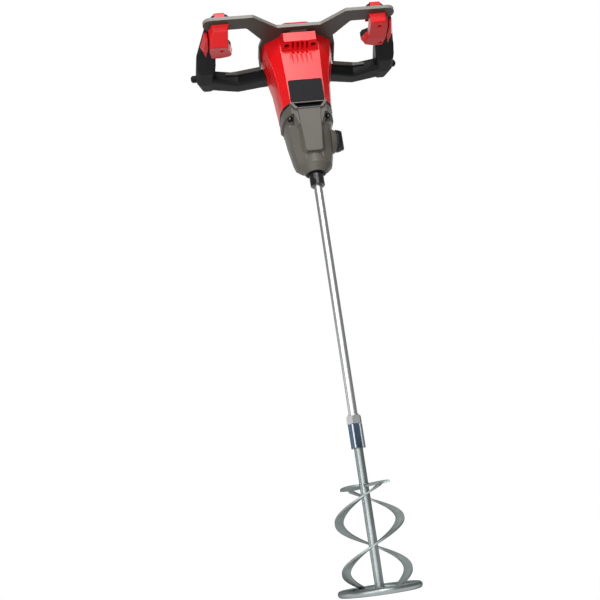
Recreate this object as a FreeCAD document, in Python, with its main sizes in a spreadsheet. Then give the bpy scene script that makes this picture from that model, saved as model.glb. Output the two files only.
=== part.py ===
import FreeCAD, Part
import math
import os
from types import SimpleNamespace

import Sketcher
from FreeCAD import Placement, Rotation, Vector

# Two-handed mixing drill: +Z up along the spindle, -Y towards the front, the stirrer ring's foot at Z 0

doc = FreeCAD.newDocument("mixing_drill")

# Driving dimensions: lengths in millimetres, angles in degrees, teeth and turns as plain numbers
SIZES = {
    "Clearances": {
        "fit": 0.05,                  # running fit on a radius
        "seat": 0.02,                 # fixed fit on a radius
        "gap": 0.3,                   # open joint between mouldings, and under a weld
        "overrun": 30,                # how far a cut runs past the face that it opens
    },
    "Stirrer": {
        "ring_radius": 58,            # centre line of the ring bar
        "ring_bar_radius": 5,
        "crossbar_width": 14,
        "crossbar_thickness": 4,
        "rod_radius": 7,              # both rods, threaded M14 at the coupling
        "strip_width": 13.6,
        "strip_thickness": 3.2,
        "strip_pitch": 145,
        "strip_rise": 142.8,
        "strip_start_angle": -63.7,
        "blade_overhang": 1,          # tip of a blade past the inside of the ring
        "blade_root": -3,
        "blade_width": 24,
        "blade_thickness": 3,
        "blade_tilt": 10,
        "blade_droop": 1.5,
        "blade_lift": 6,              # middle of a blade over the top end of a strip
        "blade_angle": 307,
    },
    "Coupling": {
        "hex_across": 21,             # across flats of the coupling and its lock nut
        "hex_chamfer": 1.6,
        "hex_turn": 4,
        "coupling_bottom": 212,       # over the ring's foot
        "stirrer_shaft_top_rise": 19, # each rise and drop is taken from the level named under Levels
        "coupling_length": 37.5,
        "lock_nut_length": 13,
        "lock_nut_turn": 11,
        "rod_bottom_rise": 5,
        "rod_top_rise": 434,
        "rod_collar_radius": 8.6,
        "rod_collar_height": 3,
    },
    "Spindle": {
        "spindle_bottom_drop": 14,
        "spindle_radius": 12.5,
        "spindle_flat_across": 22,
        "spindle_flat_length": 10,
        "spindle_flat_turn": 225,
        "spindle_rim": 1.2,
        "journal_radius": 10,
        "tail_radius": 6,
        "lower_bearing_bottom_rise": 40,
        "lower_bearing_radius": 17.5,
        "lower_bearing_height": 11,
        "bush_radius": 8.5,
        "bush_height": 5.5,
    },
    "Gear train": {
        "drive_module": 2,
        "drive_pinion_teeth": 10,
        "output_gear_teeth": 24,
        "gear_step": 6,               # between the two pairs of gears
        "drive_gear_width": 16,
        "motor_module": 0.8,
        "motor_pinion_teeth": 8,
        "motor_gear_teeth": 42,
        "motor_gear_clear": 4,        # to the bearing plate
        "motor_gear_width": 12,
        "pinion_lead": 1,
        "layshaft_radius": 5,
        "layshaft_bearing_radius": 8,
        "layshaft_bearing_height": 5.5,
        "layshaft_foot_drop": 11,
    },
    "Motor": {
        "rotor_shaft_radius": 4,
        "rotor_bearing_radius": 9,
        "rotor_bearing_height": 5.5,
        "rotor_core_radius": 15.7,
        "stator_bottom_rise": 28.5,
        "stator_height": 48,
        "stator_bore": 16.3,
        "stator_yoke": 25.5,
        "stator_radius": 31.9,
        "stator_teeth": 6,
        "stator_tooth_width": 7,
        "coil_width": 14.6,
        "coil_overhang": 5,
        "coil_inset": 1.2,
        "motor_bore_radius": 32.2,
        "fan_bottom_rise": 14,
        "fan_height": 11,
        "fan_radius": 28.5,
        "fan_hub_radius": 8,
        "fan_disc": 2,
        "fan_blades": 11,
        "fan_blade_thickness": 1.8,
        "end_plate_bottom_rise": 3,
        "end_plate_thickness": 4,
        "end_plate_boss_radius": 13,
        "end_plate_boss_height": 8,
    },
    "Gear housing": {
        "case_sole_z_rise": 5.5,
        "case_sole_half": 22,
        "case_sole_face": 10,
        "case_sole_front": 14,
        "case_sole_rear": 18,
        "case_foot_z_rise": 15.5,
        "case_foot_half": 31,
        "case_foot_face": 16,
        "case_foot_front": 20,
        "case_foot_rear": 28,
        "case_neck_z_rise": 13,
        "case_neck_half": 34,
        "case_neck_face": 15,
        "case_neck_front": 21,
        "case_neck_rear": 35,
        "case_waist_z_rise": 39,
        "case_waist_half": 38.5,
        "case_waist_face": 18,
        "case_waist_front": 24.5,
        "case_waist_rear": 54,
        "case_top_z_rise": 33,
        "case_top_half": 42,
        "case_top_face": 21,
        "case_top_front": 26,
        "case_top_rear": 58,
        "flange_z_rise": 18,
        "flange_half": 45.5,
        "flange_face": 30,
        "flange_front": 33.5,
        "flange_rear": 63,
        "nose_bottom_rise": 22.5,
        "nose_radius": 18,
        "nose_belly_rise": 12.5,
        "nose_belly_radius": 27,
        "nose_crown_rise": 22,
        "nose_crown_radius": 23,
        "seal_radius": 17,
        "seal_height": 5,
        "case_bore_radius": 13.2,
        "gear_room_bottom_drop": 4,
        "gear_room_play": 1.2,
        "pad_bottom_z_rise": 3,
        "pad_bottom_half": 14,
        "pad_bottom_front": 29,
        "pad_top_half": 19,
        "pad_top_front": 36.5,
        "pad_step": 2.4,              # how far the yoke stands behind the pad's face
        "pad_flare": 8,               # how much wider a raised slab is at its back
        "pad_back": 15,
        "pad_corner": 3.5,
        "yoke_drop": 20,
        "yoke_half": 29,
        "outlet_top_half": 24.5,
        "outlet_foot_half": 21,
        "outlet_height": 4.5,
        "outlet_sill_drop": 7.5,
        "outlet_depth": 8,
        "outlet_frame_front": 39,
        "outlet_frame_half": 32,
        "outlet_frame_foot_half": 24,
        "outlet_frame_foot_drop": 4,
        "outlet_vane": 0.9,
        "selector_y": 2,
        "selector_z_drop": 8,
        "selector_root_x": 33,
        "selector_root_radius": 24,
        "selector_face_x": 46,
        "selector_face_radius": 16,
        "knob_radius": 17,
        "knob_disc": 5,
        "knob_bar_width": 10,
        "knob_bar_height": 3.5,
        "knob_stem_radius": 5,
        "knob_stem_length": 8,
        "plate_radius": 29.5,
        "plate_thickness": 12,
        "plate_spread": 30,
        "gasket_thickness": 2.5,
        "gasket_inset": 0.2,
        "case_screw_x": 33,
        "case_screw_front_y": -18.5,
        "case_screw_rear_x": 36,
        "case_screw_rear_y": 46,
        "case_screw_radius": 2.5,
        "case_screw_head_radius": 4.5,
        "case_screw_head_height": 4.5,
        "case_screw_reach": 14,
        "case_notch_half": 6.2,
        "case_notch_height": 14,
    },
    "Motor housing": {
        "shell_base_half": 46,
        "shell_base_face": 30,
        "shell_base_front": 34,
        "shell_base_rear": 64,
        "shell_mid_z_rise": 56.5,
        "shell_mid_half": 51,
        "shell_mid_face": 32,
        "shell_mid_front": 34,
        "shell_mid_rear": 66.3,
        "shell_vent_z_rise": 43,
        "shell_vent_half": 60,
        "shell_vent_face": 34,
        "shell_vent_front": 34.5,
        "shell_vent_rear": 68,
        "shell_top_z_rise": 31,
        "shell_top_half": 65,
        "shell_top_face": 34,
        "shell_top_front": 33.5,
        "shell_top_rear": 70,
        "seam_y": -16,
        "brow_front": 53,
        "brow_front_half": 28,
        "brow_front_bottom_drop": 23,
        "brow_front_top_drop": 6,
        "brow_mid": 45,
        "brow_back": 30,
        "brow_back_half": 34,
        "brow_back_bottom_drop": 31.5,
        "brow_vent_pitch": 8.2,
        "brow_vent_width": 4,
        "brow_vent_front": 50.5,
        "brow_vent_rear": 36.5,
        "brow_vent_roof_drop": 13,
        "flute_bottom_drop": 53,
        "flute_height": 21,
        "flute_radius": 3.3,
        "flute_foot_radius": 0.4,
        "flute_stand_off": 2.2,
        "side_vent_front": 0,
        "side_vent_rear": 24,
        "side_vent_bottom_drop": 56,
        "side_vent_pitch": 6.4,
        "side_vent_height": 3.2,
        "side_vent_inner": 28,
        "side_vent_outer": 72,
        "shell_screw_low_x": 36.5,
        "shell_screw_low_z_rise": 17.5,
        "shell_screw_high_x": 44,
        "shell_screw_high_z_drop": 46,
        "shell_screw_radius": 2,
        "shell_screw_head_radius": 4,
        "shell_screw_head_height": 3,
        "shell_screw_tip_y": -21,
        "shell_screw_seat_y": 18,
        "label_half": 29.3,
        "label_bottom_rise": 0.5,
        "label_top_rise": 42,
        "label_thickness": 1,
        "label_corner": 3,
    },
    "Electronics and battery shoe": {
        "board_half": 24,
        "board_front": 49,
        "board_thickness": 3,
        "board_bottom_rise": 24.5,
        "board_top_rise": 70,
        "board_part_height": 4,
        "shoe_half": 31,
        "shoe_rail_half": 25,
        "shoe_back": 79,
        "shoe_lip": 4,
        "shoe_groove": 4.5,
        "shoe_bottom_rise": 18.5,
        "shoe_top_rise": 76,
        "shoe_channel_half": 18,
        "shoe_channel_sill": 14,
        "terminal_pitch": 8,
        "terminal_thickness": 1.2,
        "terminal_length": 16,
    },
    "Handle frame": {
        "frame_thickness": 6,
        "frame_nose_half": 38,
        "frame_nose_y": 61,
        "frame_bend_x": 79,
        "frame_arm_front": 94,
        "frame_arm_rear": 65.5,
        "frame_tip_x": 164,
        "frame_tip_round": 14,
        "frame_bend_round": 7,
        "frame_inner_x": 90,
        "frame_waist_x": 63,
        "frame_waist_y": 28,
        "frame_ring_half": 68,
        "frame_ring_y": 5,
        "frame_back_half": 54,
        "frame_back_y": 58,
        "frame_rear_half": 26,
        "frame_rear_y": 68,
        "frame_hole_half": 41,
        "frame_hole_front": 28,
        "frame_hole_rear": 46,
        "frame_hole_corner": 12,
        "frame_slot_half": 15.6,
        "frame_slot_width": 3.8,
        "frame_slot_y": 48,
        "skirt_thickness": 2.6,
        "skirt_rear": 31.4,
        "skirt_front_drop": 1,
        "skirt_mid_y": 4,
        "skirt_mid_drop": 5.5,
        "skirt_rear_drop": 19,
        "rib_depth": 3.4,
        "rib_height": 7,
        "rib_tip_x": 129,
        "rib_tip_height": 4,
        "rib_tip_top_drop": 7,
        "rib_elbow_top_drop": 2,
        "frame_screw_front_x": 23,
        "frame_screw_front_y": 43.5,
        "frame_screw_front_seat_drop": 21,
        "frame_screw_rear_x": 47,
        "frame_screw_rear_y": 30,
        "frame_screw_radius": 2.5,
        "frame_screw_head_radius": 4.2,
        "frame_screw_head_height": 4,
        "frame_screw_reach": 18,
    },
    "Top cap": {
        "cap_base_half": 58,
        "cap_base_face": 34,
        "cap_base_front": 42,
        "cap_base_rear": 62,
        "cap_mid_z_rise": 14,
        "cap_mid_half": 50,
        "cap_mid_face": 30,
        "cap_mid_front": 36,
        "cap_mid_rear": 54,
        "cap_high_z_rise": 12,
        "cap_high_half": 34,
        "cap_high_face": 21,
        "cap_high_front": 28,
        "cap_high_rear": 42,
        "cap_crown_z_rise": 5,
        "cap_crown_half": 22,
        "cap_crown_face": 13,
        "cap_crown_front": 20,
        "cap_crown_rear": 30,
        "cap_wall": 3,
    },
    "Grips": {
        "grip_front_y": -76.5,
        "grip_front_inner": 117,
        "grip_front_outer": 160,
        "grip_front_bottom_drop": 18,
        "grip_front_top_rise": 18,
        "grip_palm_y": 12,
        "grip_palm_inner": 145,
        "grip_palm_outer": 179.5,
        "grip_palm_bottom_drop": 20,
        "grip_palm_top_rise": 18,
        "grip_heel_y": 64,
        "grip_heel_inner": 151,
        "grip_heel_outer": 183.5,
        "grip_heel_bottom_drop": 24,
        "grip_heel_top_rise": 14,
        "grip_end_y": 91,
        "grip_end_inner": 153,
        "grip_end_outer": 174,
        "grip_end_bottom_drop": 21.5,
        "grip_end_top_rise": 4,
        "swoop_rear_y": 30,
        "bumper_y": 73,
        "bumper_z_drop": 3,
        "bumper_radius": 6.5,
        "bumper_round": 3,
        "bumper_depth": 11.5,         # sunk in the heel of the grip
        "bumper_reach": 9.5,          # out of the heel
    },
    "Rear bars": {
        "bar_root_x": 46,
        "bar_root_front": 16,
        "bar_root_rear": 50,
        "bar_root_bottom_drop": 47,
        "bar_root_top_drop": 24,
        "bar_side_x": 66,
        "bar_side_front": 32,
        "bar_side_rear": 64,
        "bar_side_bottom_drop": 40,
        "bar_side_top_drop": 16,
        "bar_elbow_x": 108,
        "bar_elbow_front": 63,
        "bar_elbow_rear": 94,
        "bar_elbow_bottom_drop": 27.5,
        "bar_elbow_top_rise": 1,
        "bar_tip_x": 166,
        "bar_tip_front": 49,
        "bar_tip_rear": 86,
        "bar_tip_bottom_drop": 22,
        "bar_tip_top_rise": 1,
    },
    "Switch heads": {
        "head_bottom_drop": 12,
        "head_front": 83,
        "head_inner": 118,
        "head_outer": 156.5,
        "head_length": 88,
        "trigger_face": 116,
        "trigger_back": 142,
        "trigger_front": -24,
        "trigger_rear": -6,
        "trigger_height": 13.6,
        "trigger_travel": 6,
        "switch_length": 12,
        "switch_front": -27,
        "switch_rear": -5,
        "switch_bottom_rise": 2.2,
        "switch_height": 13,
        "panel_gap": 1.2,
        "panel_width": 14,
        "panel_front": -64,
        "panel_length": 64,
        "grip_cap_inner": 125,
        "grip_cap_outer": 143.5,
        "grip_cap_thickness": 3,
        "grip_cap_rear": -24,
        "grip_cap_chamfer": 4,
        "grip_screw_radius": 1.7,
        "grip_screw_head_radius": 3.2,
        "grip_screw_head_height": 3,
        "grip_screw_seat_rise": 4,
        "grip_screw_top_rise": 6,
        "grip_screw_left_x": 134.5,
        "grip_screw_left_y": -40,
        "grip_screw_front_x": 138.5,
        "grip_screw_front_y": -66.5,
        "grip_screw_rear_x": 149,
        "grip_screw_rear_y": -13.5,
    },
}


class Size:
    """A number from the sheet, or a sum of such numbers, with the formula that gives it."""

    def __init__(self, value, formula):
        self.value = value
        self.formula = formula

    def __float__(self):
        return float(self.value)

    def __add__(self, other):
        return Size(float(self) + float(other), "(%s + %s)" % (formula(self), formula(other)))

    def __radd__(self, other):
        return Size(float(other) + float(self), "(%s + %s)" % (formula(other), formula(self)))

    def __sub__(self, other):
        return Size(float(self) - float(other), "(%s - %s)" % (formula(self), formula(other)))

    def __rsub__(self, other):
        return Size(float(other) - float(self), "(%s - %s)" % (formula(other), formula(self)))

    def __mul__(self, other):
        return Size(float(self) * float(other), "(%s * %s)" % (formula(self), formula(other)))

    __rmul__ = __mul__

    def __truediv__(self, other):
        return Size(float(self) / float(other), "(%s / %s)" % (formula(self), formula(other)))

    def __neg__(self):
        return Size(-float(self), "(0 - %s)" % formula(self))


def formula(item):
    return item.formula if isinstance(item, Size) else repr(item)


def root(size):
    return Size(math.sqrt(float(size)), "sqrt(%s)" % formula(size))


def write_sheet():
    """Fill the sheet, one row for each size, and return the sizes by name."""
    sheet = doc.addObject("Spreadsheet::Sheet", "dims")
    sizes = {}
    row = 0
    for heading, group in SIZES.items():
        row += 1
        sheet.set("A%d" % row, heading)
        for name, value in group.items():
            row += 1
            sheet.set("A%d" % row, name.replace("_", " "))
            sheet.set("B%d" % row, repr(value))
            sheet.setAlias("B%d" % row, name)
            sizes[name] = Size(value, "dims." + name)
    doc.recompute()
    return SimpleNamespace(**sizes)


d = write_sheet()
NODES = []

# Levels: worked up from the ring's foot, each by a rise or a drop from the level that carries it


def raise_from(base, *names):
    for name in names:
        setattr(d, name, base + getattr(d, name + "_rise"))


def drop_from(base, *names):
    for name in names:
        setattr(d, name, base - getattr(d, name + "_drop"))


raise_from(d.coupling_bottom, "stirrer_shaft_top")
raise_from(d.stirrer_shaft_top, "rod_bottom")
raise_from(d.rod_bottom, "rod_top")
drop_from(d.rod_top, "spindle_bottom")
raise_from(d.spindle_bottom, "lower_bearing_bottom", "nose_bottom")
raise_from(d.nose_bottom, "case_sole_z", "case_foot_z", "nose_belly")
raise_from(d.nose_belly, "nose_crown")
raise_from(d.case_foot_z, "case_neck_z")
raise_from(d.case_neck_z, "case_waist_z", "pad_bottom_z")
raise_from(d.case_waist_z, "case_top_z")
drop_from(d.case_waist_z, "selector_z")
raise_from(d.case_top_z, "flange_z")
drop_from(d.flange_z, "outlet_sill")
drop_from(d.outlet_sill, "outlet_frame_foot")

plate_bottom = d.flange_z - d.plate_thickness
motor_gear_top = plate_bottom - d.motor_gear_clear
motor_gear_bottom = motor_gear_top - d.motor_gear_width
drive_gear_top = motor_gear_bottom - d.gear_step
drive_gear_bottom = drive_gear_top - d.drive_gear_width
drop_from(drive_gear_bottom, "gear_room_bottom")
drop_from(d.gear_room_bottom, "layshaft_foot")

shell_bottom = d.flange_z + d.gasket_thickness
raise_from(shell_bottom, "stator_bottom", "shell_mid_z", "shell_screw_low_z")
raise_from(shell_bottom, "label_bottom", "board_bottom", "shoe_bottom")
raise_from(d.stator_bottom + d.stator_height, "fan_bottom")
raise_from(d.fan_bottom + d.fan_height, "end_plate_bottom")
raise_from(d.label_bottom, "label_top")
raise_from(d.board_bottom, "board_top")
raise_from(d.shoe_bottom, "shoe_top")
raise_from(d.shell_mid_z, "shell_vent_z")
raise_from(d.shell_vent_z, "shell_top_z")
drop_from(d.shell_top_z, "brow_front_bottom", "brow_front_top", "brow_back_bottom", "brow_vent_roof")
drop_from(d.shell_top_z, "flute_bottom", "side_vent_bottom", "shell_screw_high_z")

frame_bottom = d.shell_top_z
frame_top = frame_bottom + d.frame_thickness
drop_from(frame_bottom, "frame_screw_front_seat", "rib_tip_top", "rib_elbow_top", "bumper_z")
raise_from(frame_top, "cap_mid_z")
raise_from(d.cap_mid_z, "cap_high_z")
raise_from(d.cap_high_z, "cap_crown_z")
drop_from(frame_bottom, "grip_front_bottom", "grip_palm_bottom", "grip_heel_bottom", "grip_end_bottom")
raise_from(frame_top, "grip_front_top", "grip_palm_top", "grip_heel_top", "grip_end_top")
drop_from(frame_bottom, "bar_root_bottom", "bar_side_bottom", "bar_elbow_bottom", "bar_tip_bottom")
drop_from(frame_bottom, "bar_root_top", "bar_side_top")
raise_from(frame_bottom, "bar_elbow_top", "bar_tip_top")
head_top = frame_bottom - d.gap
drop_from(frame_bottom, "head_bottom")
raise_from(d.head_bottom, "grip_screw_seat")
raise_from(d.grip_screw_seat, "grip_screw_top")
trigger_bottom = frame_bottom + d.gap
raise_from(trigger_bottom, "switch_bottom")

# Helpers: each binds what it makes to the sheet


def node(item):
    """Keep an item as a finished piece of the part."""
    NODES.append(item)
    return item


def tie(item, path, size):
    """Give a property its value and, where that comes from the sheet, its formula."""
    if isinstance(size, Size):
        item.setExpression(path, size.formula)
    else:
        setattr(item, path, size)


TURNS = {
    "x": Rotation(Vector(0, 1, 0), 90),
    "y": Rotation(Vector(1, 0, 0), -90),
    "z": Rotation(),
}


def place(item, spot=(0, 0, 0), turn=TURNS["z"]):
    item.Placement = Placement(Vector(*(float(value) for value in spot)), turn)
    for letter, value in zip("xyz", spot):
        if isinstance(value, Size):
            item.setExpression("Placement.Base." + letter, value.formula)
    return item


def about_z(angle):
    return Rotation(Vector(0, 0, 1), float(angle))


def cylinder(name, radius, height, spot=(0, 0, 0), along="z"):
    item = doc.addObject("Part::Cylinder", name)
    tie(item, "Radius", radius)
    tie(item, "Height", height)
    return place(item, spot, TURNS[along])


def cone(name, radius, end_radius, height, spot=(0, 0, 0), along="z"):
    item = doc.addObject("Part::Cone", name)
    tie(item, "Radius1", radius)
    tie(item, "Radius2", end_radius)
    tie(item, "Height", height)
    return place(item, spot, TURNS[along])


def box(name, low, high):
    item = doc.addObject("Part::Box", name)
    for side, start, end in zip(("Length", "Width", "Height"), low, high):
        tie(item, side, end - start)
    return place(item, low)


def cut(name, base, *tools):
    tool = tools[0] if len(tools) == 1 else fuse(name + "_cuts", *tools)
    item = doc.addObject("Part::Cut", name)
    item.Base = base
    item.Tool = tool
    return item


def fuse(name, *shapes):
    item = doc.addObject("Part::MultiFuse", name)
    item.Shapes = list(shapes)
    return item


def common(name, base, tool):
    item = doc.addObject("Part::Common", name)
    item.Base = base
    item.Tool = tool
    return item


def group(name, *shapes):
    item = doc.addObject("Part::Compound", name)
    item.Links = list(shapes)
    return item


def mirrored(name, source):
    """The other hand of a piece, across the X 0 plane."""
    item = doc.addObject("Part::Mirroring", name)
    item.Source = source
    item.Normal = Vector(1, 0, 0)
    return item


def tube(name, radius, bore, height, spot=(0, 0, 0)):
    outer = cylinder(name + "_outer", radius, height, spot)
    inner = cylinder(name + "_bore", bore, height, spot)
    return cut(name, outer, inner)


def new_sketch(body, name, plane, level=0):
    sketch = body.newObject("Sketcher::SketchObject", name)
    support = [part for part in body.Origin.OriginFeatures if part.Role == plane + "_Plane"][0]
    sketch.AttachmentSupport = [(support, "")]
    sketch.MapMode = "FlatFace"
    if isinstance(level, Size):
        sketch.setExpression("AttachmentOffset.Base.z", level.formula)
    return sketch


def pin(sketch, line, kind, size):
    """Hold a line's first end at a distance from the sketch's origin."""
    if float(size) == 0:
        axis = -2 if kind == "DistanceX" else -1
        sketch.addConstraint(Sketcher.Constraint("PointOnObject", line, 1, axis))
        return
    index = sketch.addConstraint(Sketcher.Constraint(kind, line, 1, float(size)))
    if isinstance(size, Size):
        sketch.setExpression("Constraints[%d]" % index, size.formula)


def outline(body, name, plane, points, level=0):
    """A closed sketch of straight lines whose corners are held by sizes."""
    sketch = new_sketch(body, name, plane, level)
    spots = [Vector(float(x), float(y), 0) for x, y in points]
    count = len(spots)
    for index, spot in enumerate(spots):
        sketch.addGeometry(Part.LineSegment(spot, spots[(index + 1) % count]), False)
    for index in range(count):
        sketch.addConstraint(Sketcher.Constraint("Coincident", index, 2, (index + 1) % count, 1))
    for index, (x, y) in enumerate(points):
        pin(sketch, index, "DistanceX", x)
        pin(sketch, index, "DistanceY", y)
    return sketch


def disc_outline(body, name, radius, level=0):
    sketch = new_sketch(body, name, "XY", level)
    sketch.addGeometry(Part.Circle(Vector(0, 0, 0), Vector(0, 0, 1), float(radius)), False)
    sketch.addConstraint(Sketcher.Constraint("Coincident", 0, 3, -1, 1))
    index = sketch.addConstraint(Sketcher.Constraint("Radius", 0, float(radius)))
    sketch.setExpression("Constraints[%d]" % index, radius.formula)
    return sketch


def pad(body, sketch, length, reverse=False):
    item = body.newObject("PartDesign::Pad", sketch.Label + "_pad")
    item.Profile = sketch
    tie(item, "Length", length)
    item.Reversed = reverse
    body.Tip = item
    return item


def prism(name, plane, points, length, level=0, reverse=False):
    """A body padded from one outline; an XZ outline pads towards -Y."""
    body = doc.addObject("PartDesign::Body", name)
    pad(body, outline(body, name + "_outline", plane, points, level), length, reverse)
    return body


def loft(name, plane, sections):
    """A body of flat-sided spans through (level, points) sections."""
    body = doc.addObject("PartDesign::Body", name)
    sketches = []
    for index, (level, points) in enumerate(sections):
        sketches.append(outline(body, "%s_section_%d" % (name, index), plane, points, level))
    doc.recompute()
    item = body.newObject("PartDesign::AdditiveLoft", name + "_loft")
    item.Profile = sketches[0]
    item.Sections = sketches[1:]
    item.Ruled = True
    body.Tip = item
    return body


def turned(name, points, spot=(0, 0, 0)):
    """A body turned about Z from an outline of (radius, height) points."""
    body = doc.addObject("PartDesign::Body", name)
    sketch = outline(body, name + "_profile", "XZ", points)
    doc.recompute()
    item = body.newObject("PartDesign::Revolution", name + "_turning")
    item.Profile = sketch
    item.ReferenceAxis = (sketch, ["V_Axis"])
    item.Angle = 360
    body.Tip = item
    return place(body, spot)


def repeat(body, feature, sketch, count):
    """Repeat a feature evenly round the normal of its sketch."""
    item = body.newObject("PartDesign::PolarPattern", feature.Label + "_ring")
    item.Originals = [feature]
    item.Axis = (sketch, ["N_Axis"])
    item.Angle = 360
    item.setExpression("Occurrences", count.formula)
    body.Tip = item
    return item


def round_edges(body, radius, chosen):
    """Fillet the edges of a body's tip that the chooser picks."""
    doc.recompute()
    base = body.Tip
    names = ["Edge%d" % (index + 1) for index, edge in enumerate(base.Shape.Edges) if chosen(edge)]
    item = body.newObject("PartDesign::Fillet", "%s_round_%s" % (body.Label, names[0]))
    item.Base = (base, names)
    tie(item, "Radius", radius)
    body.Tip = item
    return item


def upright(edge):
    """True for an edge that runs along Z."""
    first, last = edge.Vertexes[0].Point, edge.Vertexes[-1].Point
    return abs((last - first).normalize().z) > upright_share


upright_share = 0.99


def span(start, end, share):
    return start + (end - start) * share


def along_span(x, first, last):
    """The value at x on the straight line between two (x, value) points."""
    return first[1] + (last[1] - first[1]) * ((x - first[0]) / (last[0] - first[0]))


# Stirrer: ring, crossbar, shaft, two helical strips and the two blades that tie them to the shaft

ring_z = d.ring_bar_radius
ring = node(doc.addObject("Part::Torus", "stirrer_ring"))
tie(ring, "Radius1", d.ring_radius)
tie(ring, "Radius2", d.ring_bar_radius)
place(ring, (0, 0, ring_z))

ring_inner = d.ring_radius - d.ring_bar_radius
crossbar_half = root(ring_inner * ring_inner - d.crossbar_width * d.crossbar_width / 4)
crossbar_top = ring_z + d.crossbar_thickness / 2
crossbar = node(prism(
    "ring_crossbar",
    "XY",
    [
        (-crossbar_half, -d.crossbar_width / 2),
        (crossbar_half, -d.crossbar_width / 2),
        (crossbar_half, d.crossbar_width / 2),
        (-crossbar_half, d.crossbar_width / 2),
    ],
    d.crossbar_thickness,
    crossbar_top - d.crossbar_thickness,
))
place(crossbar, turn=about_z(d.strip_start_angle))

node(cylinder("stirrer_shaft", d.rod_radius, d.stirrer_shaft_top - crossbar_top, (0, 0, crossbar_top)))

strip_outer = ring_inner - d.gap
strip_inner = strip_outer - d.strip_width
strip_foot = crossbar_top + d.gap


def helix_strip(name, half_turn):
    """A flat strip wound right-handed round the shaft, from the crossbar up inside the ring."""
    body = doc.addObject("PartDesign::Body", name)
    sketch = outline(body, name + "_section", "XZ", [
        (strip_inner, strip_foot),
        (strip_outer, strip_foot),
        (strip_outer, strip_foot + d.strip_thickness),
        (strip_inner, strip_foot + d.strip_thickness),
    ])
    doc.recompute()
    item = body.newObject("PartDesign::AdditiveHelix", name + "_winding")
    item.Profile = sketch
    item.ReferenceAxis = (sketch, ["V_Axis"])
    item.Mode = 0
    tie(item, "Pitch", d.strip_pitch)
    tie(item, "Height", d.strip_rise)
    body.Tip = item
    return place(body, turn=about_z(d.strip_start_angle + half_turn))


blade_height = strip_foot + d.strip_rise + d.blade_lift


def helix_blade(name, half_turn):
    """A leaf-shaped plate, where two discs cross, that leans from the shaft to the top of a strip."""
    half_width = d.blade_width / 2
    half_length = (ring_inner + d.blade_overhang - d.blade_root) / 2
    disc_radius = (half_length * half_length / half_width + half_width) / 2
    middle = d.blade_root + half_length
    away = disc_radius - half_width
    low = -d.blade_thickness / 2
    discs = []
    for word, y in (("lead", -away), ("trail", away)):
        discs.append(cylinder(name + "_" + word, disc_radius, d.blade_thickness, (middle, y, low)))
    leaf = common(name + "_leaf", *discs)
    droop = Rotation(Vector(0, 1, 0), float(d.blade_droop))
    tilt = Rotation(Vector(1, 0, 0), float(d.blade_tilt))
    turn = about_z(d.blade_angle + half_turn).multiply(droop).multiply(tilt)
    place(leaf, (0, 0, blade_height), turn)
    bore = cylinder(
        name + "_shaft_hole",
        d.rod_radius + d.gap,
        d.blade_width * 2,
        (0, 0, blade_height - d.blade_width),
    )
    return cut(name, leaf, bore)


for letter, half_turn in (("a", 0), ("b", 180)):
    node(helix_strip("helix_strip_" + letter, half_turn))
    node(helix_blade("helix_blade_" + letter, half_turn))

# Coupling: a long hexagon nut joins the two rods, and a lock nut holds it

rod_hole = d.rod_radius + d.seat
hex_corner_share = 2 / math.sqrt(3)


def hexagon(name, bottom, length, turn):
    """A hexagon nut with turned corners and a plain bore."""
    prism_blank = doc.addObject("Part::Prism", name + "_hexagon")
    prism_blank.Polygon = 6
    corner = d.hex_across / 2 * hex_corner_share
    tie(prism_blank, "Circumradius", corner)
    tie(prism_blank, "Height", length)
    place(prism_blank, (0, 0, bottom), about_z(turn))
    rim = corner - d.hex_chamfer
    shoulder = d.hex_chamfer / 2
    turning = turned(name + "_turning", [
        (0, bottom),
        (rim, bottom),
        (corner, bottom + shoulder),
        (corner, bottom + length - shoulder),
        (rim, bottom + length),
        (0, bottom + length),
    ])
    bore = cylinder(name + "_bore", rod_hole, length, (0, 0, bottom))
    return cut(name, common(name + "_blank", prism_blank, turning), bore)


coupling_top = d.coupling_bottom + d.coupling_length
lock_nut_top = coupling_top + d.lock_nut_length
node(hexagon("coupling_nut", d.coupling_bottom, d.coupling_length, d.hex_turn))
node(hexagon("lock_nut", coupling_top, d.lock_nut_length, d.lock_nut_turn))
node(turned("upper_rod", [
    (0, d.rod_bottom),
    (d.rod_radius, d.rod_bottom),
    (d.rod_radius, lock_nut_top),
    (d.rod_collar_radius, lock_nut_top),
    (d.rod_collar_radius, lock_nut_top + d.rod_collar_height),
    (d.rod_radius, lock_nut_top + d.rod_collar_height),
    (d.rod_radius, d.rod_top),
    (0, d.rod_top),
]))

# Spindle: a stepped shaft, hollow at its foot for the rod, with two wrench flats

bush_top = plate_bottom + d.bush_height
spindle_blank = turned("spindle_blank", [
    (rod_hole, d.spindle_bottom),
    (d.spindle_radius - d.spindle_rim, d.spindle_bottom),
    (d.spindle_radius, d.spindle_bottom + d.spindle_rim),
    (d.spindle_radius, d.lower_bearing_bottom - d.gap),
    (d.journal_radius, d.lower_bearing_bottom - d.gap),
    (d.journal_radius, drive_gear_top),
    (d.tail_radius, drive_gear_top),
    (d.tail_radius, bush_top - d.gap),
    (0, bush_top - d.gap),
    (0, d.rod_top + d.gap),
    (rod_hole, d.rod_top + d.gap),
])
flat_cuts = []
for half_turn in (0, 180):
    flat = prism("spindle_flat_%d" % half_turn, "XY", [
        (d.spindle_flat_across / 2, -d.spindle_radius),
        (d.spindle_radius + d.overrun, -d.spindle_radius),
        (d.spindle_radius + d.overrun, d.spindle_radius),
        (d.spindle_flat_across / 2, d.spindle_radius),
    ], d.spindle_flat_length + d.overrun, d.spindle_bottom - d.overrun)
    flat_cuts.append(place(flat, turn=about_z(d.spindle_flat_turn + half_turn)))
node(cut("spindle", spindle_blank, *flat_cuts))

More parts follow.
